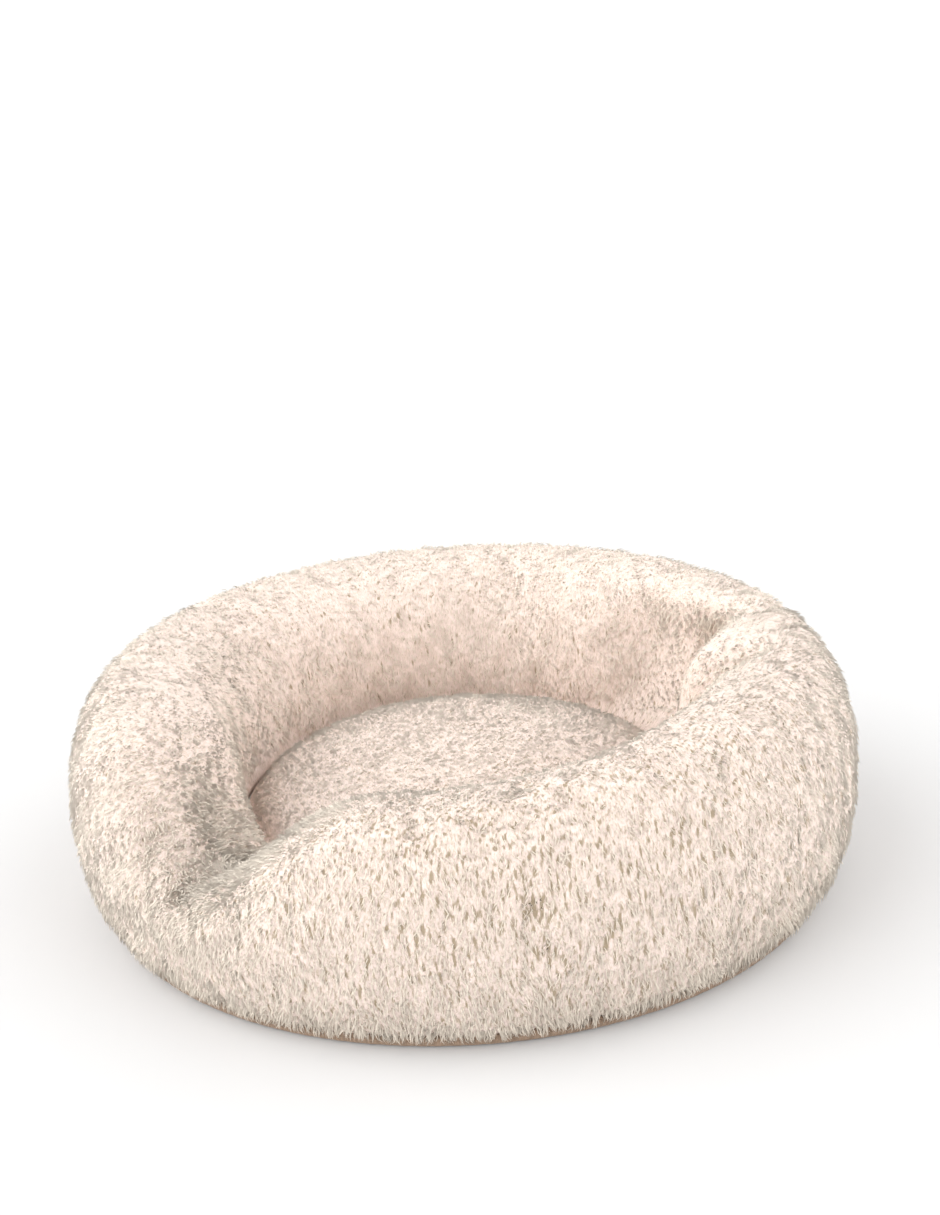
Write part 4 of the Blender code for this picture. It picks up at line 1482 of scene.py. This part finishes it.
class PETBED_OT_cushion(bpy.types.Operator):
    """Make the stuffed cushion's knitted backing with its dense underfur"""

    bl_idname = "pet_bed.cushion"
    bl_label = "Cushion"

    def execute(self, context):
        sizes, colours = context.scene.bed_sizes, context.scene.bed_colours
        depth = sizes.pile_depth + sizes.backing_thickness
        insets = coat_insets(sizes, COAT_ALONG // 2, SEAM_ROWS_CUSHION)
        outside = cushion_skin(sizes, insets, COAT_AROUND // 2, COAT_ALONG // 2)
        inside = cushion_skin(sizes, depth, COAT_AROUND // 2, LINED_ALONG // 2)
        points = np.concatenate([inside[:, ::-1], outside], axis=1)
        coat = grid_object("cushion_coat", points)
        combed_uv(coat, CUSHION_HEADING)
        mark_partings(sizes, coat)
        finish(coat, coat_finish(colours), "bed", "cushion_fur", "cushion_cover")
        return {"FINISHED"}


class PETBED_OT_cushion_fur(bpy.types.Operator):
    """Root the long pile on the cushion"""

    bl_idname = "pet_bed.cushion_fur"
    bl_label = "Cushion fur"

    def execute(self, context):
        sizes, colours = context.scene.bed_sizes, context.scene.bed_colours
        sheet = cushion_skin(sizes, sizes.pile_depth, COAT_AROUND // 2, COAT_ALONG // 2)
        pile = lock_field(sizes, sheet, **CUSHION_COMB)
        material = pile_finish(colours)
        half = np.floor(pile["u"] * 2).astype(int)
        for number in range(2):
            fur = strand_object(f"cushion_fur_{number + 1}", pile, half == number)
            finish(fur, material, "bed", "cushion_fur", "cushion_cover")
        return {"FINISHED"}


def ring_section(points, around):
    """A section (along, 2) of radius and height, carried once around the axis."""
    azimuth = np.arange(around)[:, None] * math.tau / around
    x = points[:, 0] * np.cos(azimuth)
    y = points[:, 0] * np.sin(azimuth)
    z = points[:, 1] + 0.0 * azimuth
    return np.stack([x, y, z], axis=-1)


class PETBED_OT_wadding(bpy.types.Operator):
    """Make the fibre fillings of the rim and of the cushion, lumpy inside their covers"""

    bl_idname = "pet_bed.wadding"
    bl_label = "Wadding"

    def execute(self, context):
        sizes, colours = context.scene.bed_sizes, context.scene.bed_colours
        material = named_material("polyester_fibre", fibre_material, colours.filling)
        fill_low, fill_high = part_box("bolster_filling")
        inset = sizes.outer_radius - fill_high.x + FILL_GAP
        sheet = rim_sheet(sizes, inset, 128, 40)
        near = wall_high.x + FILL_WALL_GAP
        floor_radius = np.linspace(fill_high.x * FILL_FLOOR_SHARE, near, 14)
        inner = np.linspace(fill_low.z + FILL_WALL_ENDS[0], wall_high.z - FILL_WALL_ENDS[1], 8)
        wall = np.stack([np.full(8, near), inner], axis=-1)
        under = np.stack([floor_radius, np.full(14, fill_low.z + FILL_FLOOR_GAP)], axis=-1)
        closing = ring_section(np.concatenate([under, wall]), 128)
        ring = np.concatenate([sheet[:, :-1], closing[:, ::-1]], axis=1)
        lumps = crossed_waves(ring, LUMP_LENGTH, LUMP_SEED)[..., None]
        ring = ring - sheet_normals(ring) * (LUMP_HEIGHT + LUMP_HEIGHT * lumps)
        wadding = grid_object("bolster_wadding", ring, close_along=True)
        finish(wadding, material, "bed", "fibre_fill", "bolster_filling")

        _, pad_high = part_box("cushion_filling")
        _, slider_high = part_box("zip_slider")
        dome_inset = sizes.crown_height - pad_high.z + PAD_GAP
        dome = cushion_sheet(sizes, dome_inset, 96, 20)
        bottom = slider_high.z + FILL_GAP
        side = np.linspace(bottom, sizes.seam_height, 8)[:-1]
        reach = np.full(7, sizes.cushion_radius - dome_inset)
        under = np.stack([np.linspace(0.0, reach[0], 10)[:-1], np.full(9, bottom)], axis=-1)
        body = ring_section(np.concatenate([under, np.stack([reach, side], axis=-1)]), 96)
        pad = np.concatenate([body, dome], axis=1)
        wadding = grid_object("cushion_wadding", pad)
        finish(wadding, material, "bed", "fibre_fill", "cushion_filling")
        return {"FINISHED"}


class PETBED_OT_lining(bpy.types.Operator):
    """Make the chamber wall and the tape of the inner seam"""

    bl_idname = "pet_bed.lining"
    bl_label = "Lining"

    def execute(self, context):
        colours = context.scene.bed_colours
        material = named_material("lining_cloth", woven_material, colours.lining, LINING_THREAD)
        outer = wall_high.x
        inner = outer - LINING_THICKNESS
        height = np.linspace(wall_low.z, wall_high.z, 12)
        up = np.stack([np.full(12, outer), height], axis=-1)
        down = np.stack([np.full(12, inner), height[::-1]], axis=-1)
        band = ring_section(np.concatenate([up, down]), 240)
        slack = (1.0 + crossed_waves(band, LINING_WAVE, LINING_SEED)[..., None]) / 2.0
        band = band * (1.0 - LINING_SLACK * slack)
        wall = grid_object("chamber_band", band, close_along=True)
        finish(wall, material, "bed", "lining_cloth", "chamber_wall")

        middle = seam_high.x - SEAM_TAPE_WIDTH / 2.0
        level = (seam_low.z + seam_high.z) / 2.0
        across, up = superellipse(np.arange(20) * math.tau / 20, 3.0)
        half_height = (seam_high.z - seam_low.z) / 2.0
        section = np.stack([middle + across * SEAM_TAPE_WIDTH / 2.0, level + up * half_height], axis=-1)
        tape = grid_object("seam_band", ring_section(section, 240), close_along=True)
        finish(tape, material, "bed", "lining_cloth", "seam_tape")
        return {"FINISHED"}


def slot_line(offset, count):
    """A closed line around the zip's slot at an offset: two straights and two half circles, with
    its points evenly spaced from the +X end."""
    half = SLOT_HALF_LENGTH - SLOT_HALF_WIDTH
    radius = SLOT_HALF_WIDTH + offset
    length = 4.0 * half + math.tau * radius
    along = np.arange(count) / count * length
    bend = math.pi / 2.0 * radius
    ends = np.cumsum([0.0, bend, 2.0 * half, 2.0 * bend, 2.0 * half, bend])
    x = np.interp(along, ends, [half, half, -half, -half, half, half])
    turn = np.interp(along, ends, [0.0, 0.25, 0.25, 0.75, 0.75, 1.0]) * math.tau
    return np.stack([x + radius * np.cos(turn), radius * np.sin(turn)], axis=-1)


def base_points():
    """The base cloth as a closed sheet around its slot.

    Point (t, s) is (1 - s) of the slot's edge and s of the outer circle. The cloth lies on the floor
    on its grip dots; crossed waves lift it a little, and puckers cos(N azimuth) do at its edge.
    """
    around = 600
    turn = np.arange(around) * math.tau / around
    rim = BASE_REACH * np.stack([np.cos(turn), np.sin(turn)], axis=-1)
    slot = slot_line(0.0, around)
    share = np.linspace(0.0, 1.0, 28)[:, None, None] ** 0.8
    plan = (slot * (1.0 - share) + rim * share).swapaxes(0, 1)
    radius = np.linalg.norm(plan, axis=-1)
    place = np.concatenate([plan, np.zeros((*plan.shape[:2], 1))], axis=-1)
    edge = smoothstep((radius - BASE_REACH + EDGE_WIDTH) / EDGE_WIDTH)
    pucker = (1.0 + np.cos(turn * HEM_PUCKERS)[:, None]) / 2.0 * edge
    wrinkle = (1.0 + crossed_waves(place, WRINKLE_LENGTH, WRINKLE_SEED)) / 2.0 * (1.0 - edge)
    sheet_z = GRIP_DOT_HEIGHT + EDGE_PUCKER * pucker + WRINKLE_HEIGHT * np.clip(wrinkle, 0.0, 1.0)
    under = np.concatenate([plan, sheet_z[..., None]], axis=-1)
    over = under + np.array([0.0, 0.0, CLOTH_THICKNESS])
    return np.concatenate([under, over[:, ::-1]], axis=1)


def stitches(line, tangent, normal, length, radius):
    """Closed stitches as small spindles: five-sided rings at four places along each thread.

    Each lies along its tangent at a place of the line; its rings have the radius times the share
    of a half ellipse, and its ends dip against the normal into the cloth.
    """
    turn = np.arange(STITCH_SIDES)[:, None] * math.tau / STITCH_SIDES
    across = np.cross(normal, tangent)
    ring = np.cos(turn) * across[:, None, None] + np.sin(turn) * normal[:, None, None]
    middle = line[:, None] + STITCH_PLACES[:, None] * length * tangent[:, None]
    middle = middle + STITCH_DIPS[:, None] * radius * normal[:, None]
    verts = middle[:, :, None] + radius * STITCH_GIRTHS[:, None, None] * ring
    corners, counts = tube_faces(len(STITCH_PLACES), STITCH_SIDES)
    every = corners + len(STITCH_PLACES) * STITCH_SIDES * np.arange(len(line))[:, None]
    return verts.reshape(-1, 3), every.ravel(), np.tile(counts, len(line))


def line_stitches(points, pitch, normals, length, radius):
    """Stitches spaced by the pitch along a closed line of points with their normals."""
    line = np.concatenate([points, np.broadcast_to(normals, points.shape)], axis=1)
    line = np.concatenate([line, line[:1]])
    run = np.concatenate(([0.0], np.cumsum(np.linalg.norm(np.diff(line[:, :3], axis=0), axis=1))))
    count = int(run[-1] / pitch)
    at = (np.arange(count) + 0.5) / count * run[-1]
    here, ahead = (
        np.stack([np.interp(spot, run, column) for column in line.T], axis=-1)
        for spot in (at, at + pitch / 4)
    )
    tangent = unit(ahead[:, :3] - here[:, :3])
    return stitches(here[:, :3], tangent, unit(here[:, 3:]), length, radius)


def grip_places():
    """The grip dots' places: a hexagonal lattice inside the hem, left out around the zip."""
    reach = int(BASE_REACH / GRIP_DOT_PITCH) + 2
    i, j = np.meshgrid(np.arange(-reach, reach + 1), np.arange(-reach, reach + 1))
    x = (i + (j % 2) / 2.0).ravel() * GRIP_DOT_PITCH
    y = j.ravel() * GRIP_DOT_PITCH * math.sqrt(0.75)
    beyond = np.abs(x) > SLOT_HALF_LENGTH + GRIP_CLEARANCE
    beside = np.abs(y) > SLOT_HALF_WIDTH + GRIP_CLEARANCE
    inside = np.hypot(x, y) < BASE_REACH - GRIP_CLEARANCE
    keep = (beyond | beside) & inside
    return np.stack([x[keep], y[keep], np.zeros(keep.sum())], axis=-1)


class PETBED_OT_base(bpy.types.Operator):
    """Make the base cloth with its grip dots and its stitching"""

    bl_idname = "pet_bed.base"
    bl_label = "Base cloth"

    def execute(self, context):
        colours = context.scene.bed_colours
        weave = named_material("base_cloth_weave", woven_material, colours.base, BASE_THREAD)
        cloth = grid_object("base_panel", base_points(), close_along=True)
        finish(cloth, weave, "bed", "taupe_cloth", "base_cloth")

        sides = 8
        turn = np.arange(sides) * math.tau / sides
        ring = np.stack([np.cos(turn), -np.sin(turn), np.zeros(sides)], axis=-1)
        dot = ring * GRIP_DOT_RADII[:, None, None] - DOWNWARD * GRIP_DOT_LEVELS[:, None, None]
        corners, counts = tube_faces(3, sides)
        verts, corners, counts = repeated(dot.reshape(-1, 3), corners, counts, grip_places())
        dots = mesh_object("grip_dots", verts, corners, counts)
        rubber = named_material("grip_rubber", moulded_material, scaled(colours.base, 0.72), 0.55)
        finish(dots, rubber, "bed", "taupe_cloth")

        rows = []
        for offset in SLOT_STITCH_OFFSETS:
            flat = slot_line(offset, 400)
            line = np.concatenate([flat, np.full((400, 1), GRIP_DOT_HEIGHT + 0.0003)], axis=-1)
            stitched = line_stitches(line, SLOT_STITCH_PITCH, DOWNWARD, SLOT_STITCH_LENGTH, THREAD_RADIUS)
            rows.append(stitched)
        finish(joined_object("zip_stitching", rows), thread_finish(colours), "bed", "taupe_cloth")
        return {"FINISHED"}


def joined_object(name, parts):
    """One object from several lots of vertices, corners and counts."""
    start = np.cumsum([0] + [len(part[0]) for part in parts[:-1]])
    verts = np.concatenate([part[0] for part in parts])
    corners = np.concatenate([part[1] + first for part, first in zip(parts, start)])
    counts = np.concatenate([part[2] for part in parts])
    return mesh_object(name, verts, corners, counts)


def hem_points():
    """The binding around the hem: a folded tape's rounded section, gathered into small puckers.

    The section is a superellipse; its radius and height swell by a share of cos(N azimuth) and of
    a wave half as fast, and its outer side draws in at the stitched line around its middle.
    """
    around = 960
    azimuth = np.arange(around)[:, None] * math.tau / around
    turn = np.arange(20) * math.tau / 20
    across, up = superellipse(turn, HEM_SQUARENESS)
    middle = hem_high.x - HEM_TAPE_WIDTH / 2.0
    level = (hem_low.z + hem_high.z) / 2.0
    wave = np.cos(azimuth * HEM_PUCKERS)
    wave = wave + HEM_SLOW_SHARE * np.cos(azimuth * HEM_PUCKERS * 0.5 + 1.3)
    swell = 1.0 + HEM_PUCKER_SHARE * wave
    groove = 1.0 - HEM_GROOVE_SHARE * np.exp(-((up / HEM_GROOVE_WIDTH) ** 2)) * (across > 0.0)
    radius = middle + across * groove * swell * HEM_TAPE_WIDTH / 2.0
    height = level + up * (1.0 + 0.3 * (swell - 1.0)) * (hem_high.z - hem_low.z) / 2.0
    height = np.maximum(height, 0.0)
    return np.stack([radius * np.cos(azimuth), radius * np.sin(azimuth), height], axis=-1)


class PETBED_OT_hem(bpy.types.Operator):
    """Make the bound hem with its stitching"""

    bl_idname = "pet_bed.hem"
    bl_label = "Hem"

    def execute(self, context):
        colours = context.scene.bed_colours
        weave = named_material("binding_weave", woven_material, colours.binding, BINDING_THREAD)
        hem = grid_object("hem_tape", hem_points(), close_along=True)
        finish(hem, weave, "bed", "taupe_binding", "hem_binding")
        turn = np.arange(720)[:, None] * math.tau / 720
        outward = np.concatenate([np.cos(turn), np.sin(turn), 0.0 * turn], axis=-1)
        level = np.array([0.0, 0.0, (hem_low.z + hem_high.z) / 2.0])
        side = outward * (hem_high.x - 0.00015) + level
        under = outward * (hem_high.x - HEM_TAPE_WIDTH / 2.0) + np.array([0.0, 0.0, 0.0002])
        rows = [
            line_stitches(side, HEM_STITCH_PITCH, outward, HEM_STITCH_LENGTH, THREAD_RADIUS),
            line_stitches(under, HEM_STITCH_PITCH, DOWNWARD, HEM_STITCH_LENGTH, FINE_THREAD_RADIUS),
        ]
        finish(joined_object("hem_stitching", rows), thread_finish(colours), "bed", "taupe_binding")
        return {"FINISHED"}


def tape_points(low, high, inner_side):
    """A zip tape: a flat strip with a thicker edge that carries the coil, and a slight wave."""
    along = np.linspace(low.x, high.x, 160)
    width = high.y - low.y
    half = (high.z - low.z) / 2.0
    share = np.concatenate([np.linspace(0.0, 1.0, 14), np.linspace(1.0, 0.0, 14)])
    face = np.concatenate([-np.ones(14), np.ones(14)])
    y = low.y + share * width
    toward = 1.0 - share if inner_side > 0 else share
    bead = 1.0 + 0.5 * np.exp(-(((toward - 0.95) / 0.05) ** 2))
    z = (low.z + high.z) / 2.0 + face * half * 0.62 * bead
    wave = 0.12 * half * np.sin(along * 90.0)[:, None] * (1.0 - toward)
    return np.stack(
        [np.broadcast_to(along[:, None], (160, 28)), np.broadcast_to(y, (160, 28)), z + wave], axis=-1
    )


def strip_object(name, points):
    """A closed bar from sections (along, around, 3), with a face over each end."""
    along, around = points.shape[:2]
    corners, counts = tube_faces(along, around)
    return mesh_object(name, points.reshape(-1, 3), corners, counts)


def coil_points(low, high, side, phase):
    """The middle line of a coil: x advances a pitch a turn while y and z go round an ellipse."""
    turns = int((high.x - low.x - COIL_WIRE) / COIL_PITCH)
    t = np.arange(turns * 10 + 1) / 10.0
    angle = t * math.tau + phase
    x = low.x + COIL_WIRE / 2.0 + COIL_PITCH * (t + phase / math.tau % 0.5)
    reach = high.y - low.y - COIL_WIRE + COIL_OVERLAP
    middle = (high.y + low.y) / 2.0 - side * COIL_OVERLAP / 2.0
    tall = (high.z - low.z - COIL_WIRE) / 2.0
    y = middle + reach / 2.0 * np.cos(angle)
    z = (high.z + low.z) / 2.0 - tall * np.sin(angle)
    return np.stack([x, y, z], axis=-1)


def softened_copy(name, node, width):
    """A copy of a CAD node with its doubles merged and its sharp edges rounded off."""
    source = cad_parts[node]
    shape = bmesh.new()
    shape.from_mesh(source.data)
    shape.transform(source.matrix_world)
    bmesh.ops.remove_doubles(shape, verts=shape.verts, dist=0.00002)
    bmesh.ops.recalc_face_normals(shape, faces=shape.faces)
    bmesh.ops.dissolve_limit(shape, angle_limit=math.radians(1.0), verts=shape.verts, edges=shape.edges)
    sharp = [edge for edge in shape.edges if edge.calc_face_angle(0.0) > math.radians(35.0)]
    bmesh.ops.bevel(
        shape, geom=sharp, offset=width, segments=3, profile=0.6, affect="EDGES", clamp_overlap=True
    )
    mesh = bpy.data.meshes.new(name)
    shape.to_mesh(mesh)
    shape.free()
    mesh.shade_smooth()
    mesh.set_sharp_from_angle(angle=math.radians(40.0))
    thing = bpy.data.objects.new(name, mesh)
    bpy.context.scene.collection.objects.link(thing)
    return thing


class PETBED_OT_zip(bpy.types.Operator):
    """Make the zip's tapes, coils, stops, slider and puller"""

    bl_idname = "pet_bed.zip"
    bl_label = "Zip"

    def execute(self, context):
        colours = context.scene.bed_colours
        tape = named_material("zip_tape_weave", woven_material, colours.zip_tape, TAPE_THREAD)
        nylon = named_material("zip_coil_nylon", moulded_material, colours.zip_coil, 0.4)
        metal = named_material("plated_metal", metal_material, colours.metal)
        sides = (
            ("front", -1, front_tape_low, front_tape_high, front_chain_low, front_chain_high),
            ("back", 1, back_tape_low, back_tape_high, back_chain_low, back_chain_high),
        )
        for name, side, tape_low, tape_high, chain_low, chain_high in sides:
            strip = strip_object(f"zip_strip_{name}", tape_points(tape_low, tape_high, side))
            finish(strip, tape, "bed", "zip_tape", f"zip_tape_{name}")
            line = coil_points(chain_low, chain_high, side, math.pi if side > 0 else 0.0)
            turns = tube_points(line, COIL_WIRE / 2.0, 6, np.array([1.0, 0.0, 0.0]))
            coil = strip_object(f"zip_coil_{name}", turns)
            finish(coil, nylon, "bed", "zip_coil", f"zip_chain_{name}")
            stop = softened_copy(f"zip_end_{name}", f"zip_top_stop_{name}", STOP_ROUNDING)
            finish(stop, metal, "bed", "zip_metal", f"zip_top_stop_{name}")
        stop = softened_copy("zip_end_bottom", "zip_bottom_stop", STOP_ROUNDING)
        finish(stop, metal, "bed", "zip_metal", "zip_bottom_stop")
        slider = softened_copy("slider_body", "zip_slider", METAL_ROUNDING)
        finish(slider, metal, "slider", "zip_metal", "zip_slider")
        puller = softened_copy("puller_tab", "zip_puller", METAL_ROUNDING)
        finish(puller, metal, "puller", "zip_metal", "zip_puller")
        return {"FINISHED"}


# The floor, which lies a little below the bed's lowest point; the world's strength at the horizon
# and overhead; and the two lights, each with its direction, spread and strength
FLOOR_DROP = 0.0012
FLOOR_HALF = 30.0
FLOOR_GLOW = 0.10
HORIZON_FILL = 1.68
ZENITH_FILL = 0.46
KEY_AZIMUTH = math.radians(-168.0)
KEY_ELEVATION = math.radians(36.0)
KEY_SPREAD = math.radians(75.0)
KEY_STRENGTH = 2.03
FILL_AZIMUTH = math.radians(-10.0)
FILL_ELEVATION = math.radians(28.0)
FILL_SPREAD = math.radians(90.0)
FILL_STRENGTH = 1.38


class PETBED_OT_studio(bpy.types.Operator):
    """Set the floor, the lights, the world and the camera"""

    bl_idname = "pet_bed.studio"
    bl_label = "Studio"

    def execute(self, context):
        scene = context.scene
        scene.view_settings.view_transform = "Standard"
        floor_object(context.scene.bed_colours.floor)
        studio_world()
        add_sun("key_light", KEY_AZIMUTH, KEY_ELEVATION, KEY_SPREAD, KEY_STRENGTH)
        add_sun("fill_light", FILL_AZIMUTH, FILL_ELEVATION, FILL_SPREAD, FILL_STRENGTH)
        scene.camera = photo_camera()
        return {"FINISHED"}


def floor_object(colour):
    """A flat pale floor that catches the bed's shadow and fades to white for the camera."""
    low, high = -FLOOR_HALF, FLOOR_HALF
    verts = np.array([(low, low, -FLOOR_DROP), (high, low, -FLOOR_DROP), (high, high, -FLOOR_DROP),
                      (low, high, -FLOOR_DROP)])
    floor = mesh_object("studio_floor", verts, np.arange(4), np.array([4]), smooth=False)
    material = bpy.data.materials.new("studio_floor")
    material.use_nodes = True
    tree = material.node_tree
    tree.nodes.clear()
    out = tree.nodes.new("ShaderNodeOutputMaterial")
    diffuse = add_node(tree, "ShaderNodeBsdfDiffuse", Color=(*colour, 1.0))
    glow = add_node(tree, "ShaderNodeEmission", Color=(1.0, 1.0, 1.0, 1.0))
    add = tree.nodes.new("ShaderNodeAddShader")
    strength = maths(tree, "MULTIPLY", seen_directly(tree), FLOOR_GLOW)
    tree.links.new(strength, glow.inputs["Strength"])
    tree.links.new(diffuse.outputs["BSDF"], add.inputs[0])
    tree.links.new(glow.outputs["Emission"], add.inputs[1])
    tree.links.new(add.outputs["Shader"], out.inputs["Surface"])
    floor.data.materials.append(material)


def seen_directly(tree):
    """A socket that is 1 for camera, glossy and transmission rays, and 0 for the rest."""
    path = tree.nodes.new("ShaderNodeLightPath")
    total = path.outputs["Is Camera Ray"]
    for name in ("Is Glossy Ray", "Is Transmission Ray"):
        total = maths(tree, "MAXIMUM", total, path.outputs[name])
    return total


def studio_world():
    """Soft even light from all round, and plain white where the camera sees past the floor."""
    world = bpy.data.worlds.new("studio_world")
    bpy.context.scene.world = world
    world.use_nodes = True
    tree = world.node_tree
    background = tree.nodes["Background"]
    background.inputs["Color"].default_value = (1.0, 1.0, 1.0, 1.0)
    sky = tree.nodes.new("ShaderNodeTexCoord")
    split = tree.nodes.new("ShaderNodeSeparateXYZ")
    tree.links.new(sky.outputs["Generated"], split.inputs["Vector"])
    fill = add_node(tree, "ShaderNodeMapRange")
    fill.inputs["To Min"].default_value = HORIZON_FILL
    fill.inputs["To Max"].default_value = ZENITH_FILL
    tree.links.new(split.outputs["Z"], fill.inputs["Value"])
    strength = add_node(tree, "ShaderNodeMix", data_type="FLOAT")
    tree.links.new(seen_directly(tree), strength.inputs["Factor"])
    tree.links.new(fill.outputs["Result"], strength.inputs["A"])
    strength.inputs["B"].default_value = 1.0
    tree.links.new(strength.outputs["Result"], background.inputs["Strength"])


def add_sun(name, azimuth, elevation, spread, strength):
    """An even soft light from one direction, as wide as a large softbox far away."""
    light = bpy.data.lights.new(name, "SUN")
    light.angle = spread
    light.energy = strength
    lamp = bpy.data.objects.new(name, light)
    level = math.cos(elevation)
    place = Vector((math.cos(azimuth) * level, math.sin(azimuth) * level, math.sin(elevation)))
    lamp.location = place * 2.0
    lamp.rotation_euler = (-place).to_track_quat("-Z", "Y").to_euler()
    bpy.context.scene.collection.objects.link(lamp)


def photo_camera():
    """The camera at the photograph's place: back along -Y, raised, tilted up a little and rolled."""
    camera = bpy.data.cameras.new("photo_camera")
    camera.lens = VIEW_LENS
    camera.sensor_width = VIEW_SENSOR
    camera.clip_end = 50.0
    pitch = VIEW_TILT - VIEW_ELEVATION
    ahead = Vector(
        (math.sin(VIEW_PAN) * math.cos(pitch), math.cos(VIEW_PAN) * math.cos(pitch), math.sin(pitch))
    )
    right = Vector((math.cos(VIEW_PAN), -math.sin(VIEW_PAN), 0.0))
    up = right.cross(ahead)
    roll = -VIEW_ROLL
    turned_right = right * math.cos(roll) + up * math.sin(roll)
    turned_up = up * math.cos(roll) - right * math.sin(roll)
    place = Vector(
        (
            0.0,
            -VIEW_DISTANCE * math.cos(VIEW_ELEVATION),
            VIEW_TARGET_HEIGHT + VIEW_DISTANCE * math.sin(VIEW_ELEVATION),
        )
    )
    axes = Matrix((turned_right, turned_up, -ahead)).transposed()
    seat = bpy.data.objects.new("photo_camera", camera)
    seat.matrix_world = Matrix.Translation(place) @ axes.to_4x4()
    bpy.context.scene.collection.objects.link(seat)
    return seat


OPERATORS = (
    PETBED_OT_studio,
    PETBED_OT_bolster,
    PETBED_OT_bolster_fur,
    PETBED_OT_cushion,
    PETBED_OT_cushion_fur,
    PETBED_OT_wadding,
    PETBED_OT_lining,
    PETBED_OT_base,
    PETBED_OT_hem,
    PETBED_OT_zip,
)


class PETBED_PT_panel(bpy.types.Panel):
    """The bed's steps, sizes and colours"""

    bl_label = "Pet Bed"
    bl_idname = "PETBED_PT_panel"
    bl_space_type = "VIEW_3D"
    bl_region_type = "UI"
    bl_category = "Pet Bed"

    def draw(self, context):
        layout = self.layout
        for operator in OPERATORS:
            layout.operator(operator.bl_idname)
        for group in (context.scene.bed_sizes, context.scene.bed_colours):
            box = layout.box()
            for name in group.__annotations__:
                box.prop(group, name)


CLASSES = (BedSizes, BedColours, *OPERATORS, PETBED_PT_panel)


def register():
    for thing in CLASSES:
        bpy.utils.register_class(thing)
    bpy.types.Scene.bed_sizes = PointerProperty(type=BedSizes)
    bpy.types.Scene.bed_colours = PointerProperty(type=BedColours)


def unregister():
    del bpy.types.Scene.bed_colours
    del bpy.types.Scene.bed_sizes
    for thing in reversed(CLASSES):
        bpy.utils.unregister_class(thing)


def main():
    """Build the whole bed in its studio."""
    register()
    bpy.ops.pet_bed.studio()
    bpy.ops.pet_bed.bolster()
    bpy.ops.pet_bed.bolster_fur()
    bpy.ops.pet_bed.cushion()
    bpy.ops.pet_bed.cushion_fur()
    bpy.ops.pet_bed.wadding()
    bpy.ops.pet_bed.lining()
    bpy.ops.pet_bed.base()
    bpy.ops.pet_bed.hem()
    bpy.ops.pet_bed.zip()


if __name__ == "__main__":
    main()
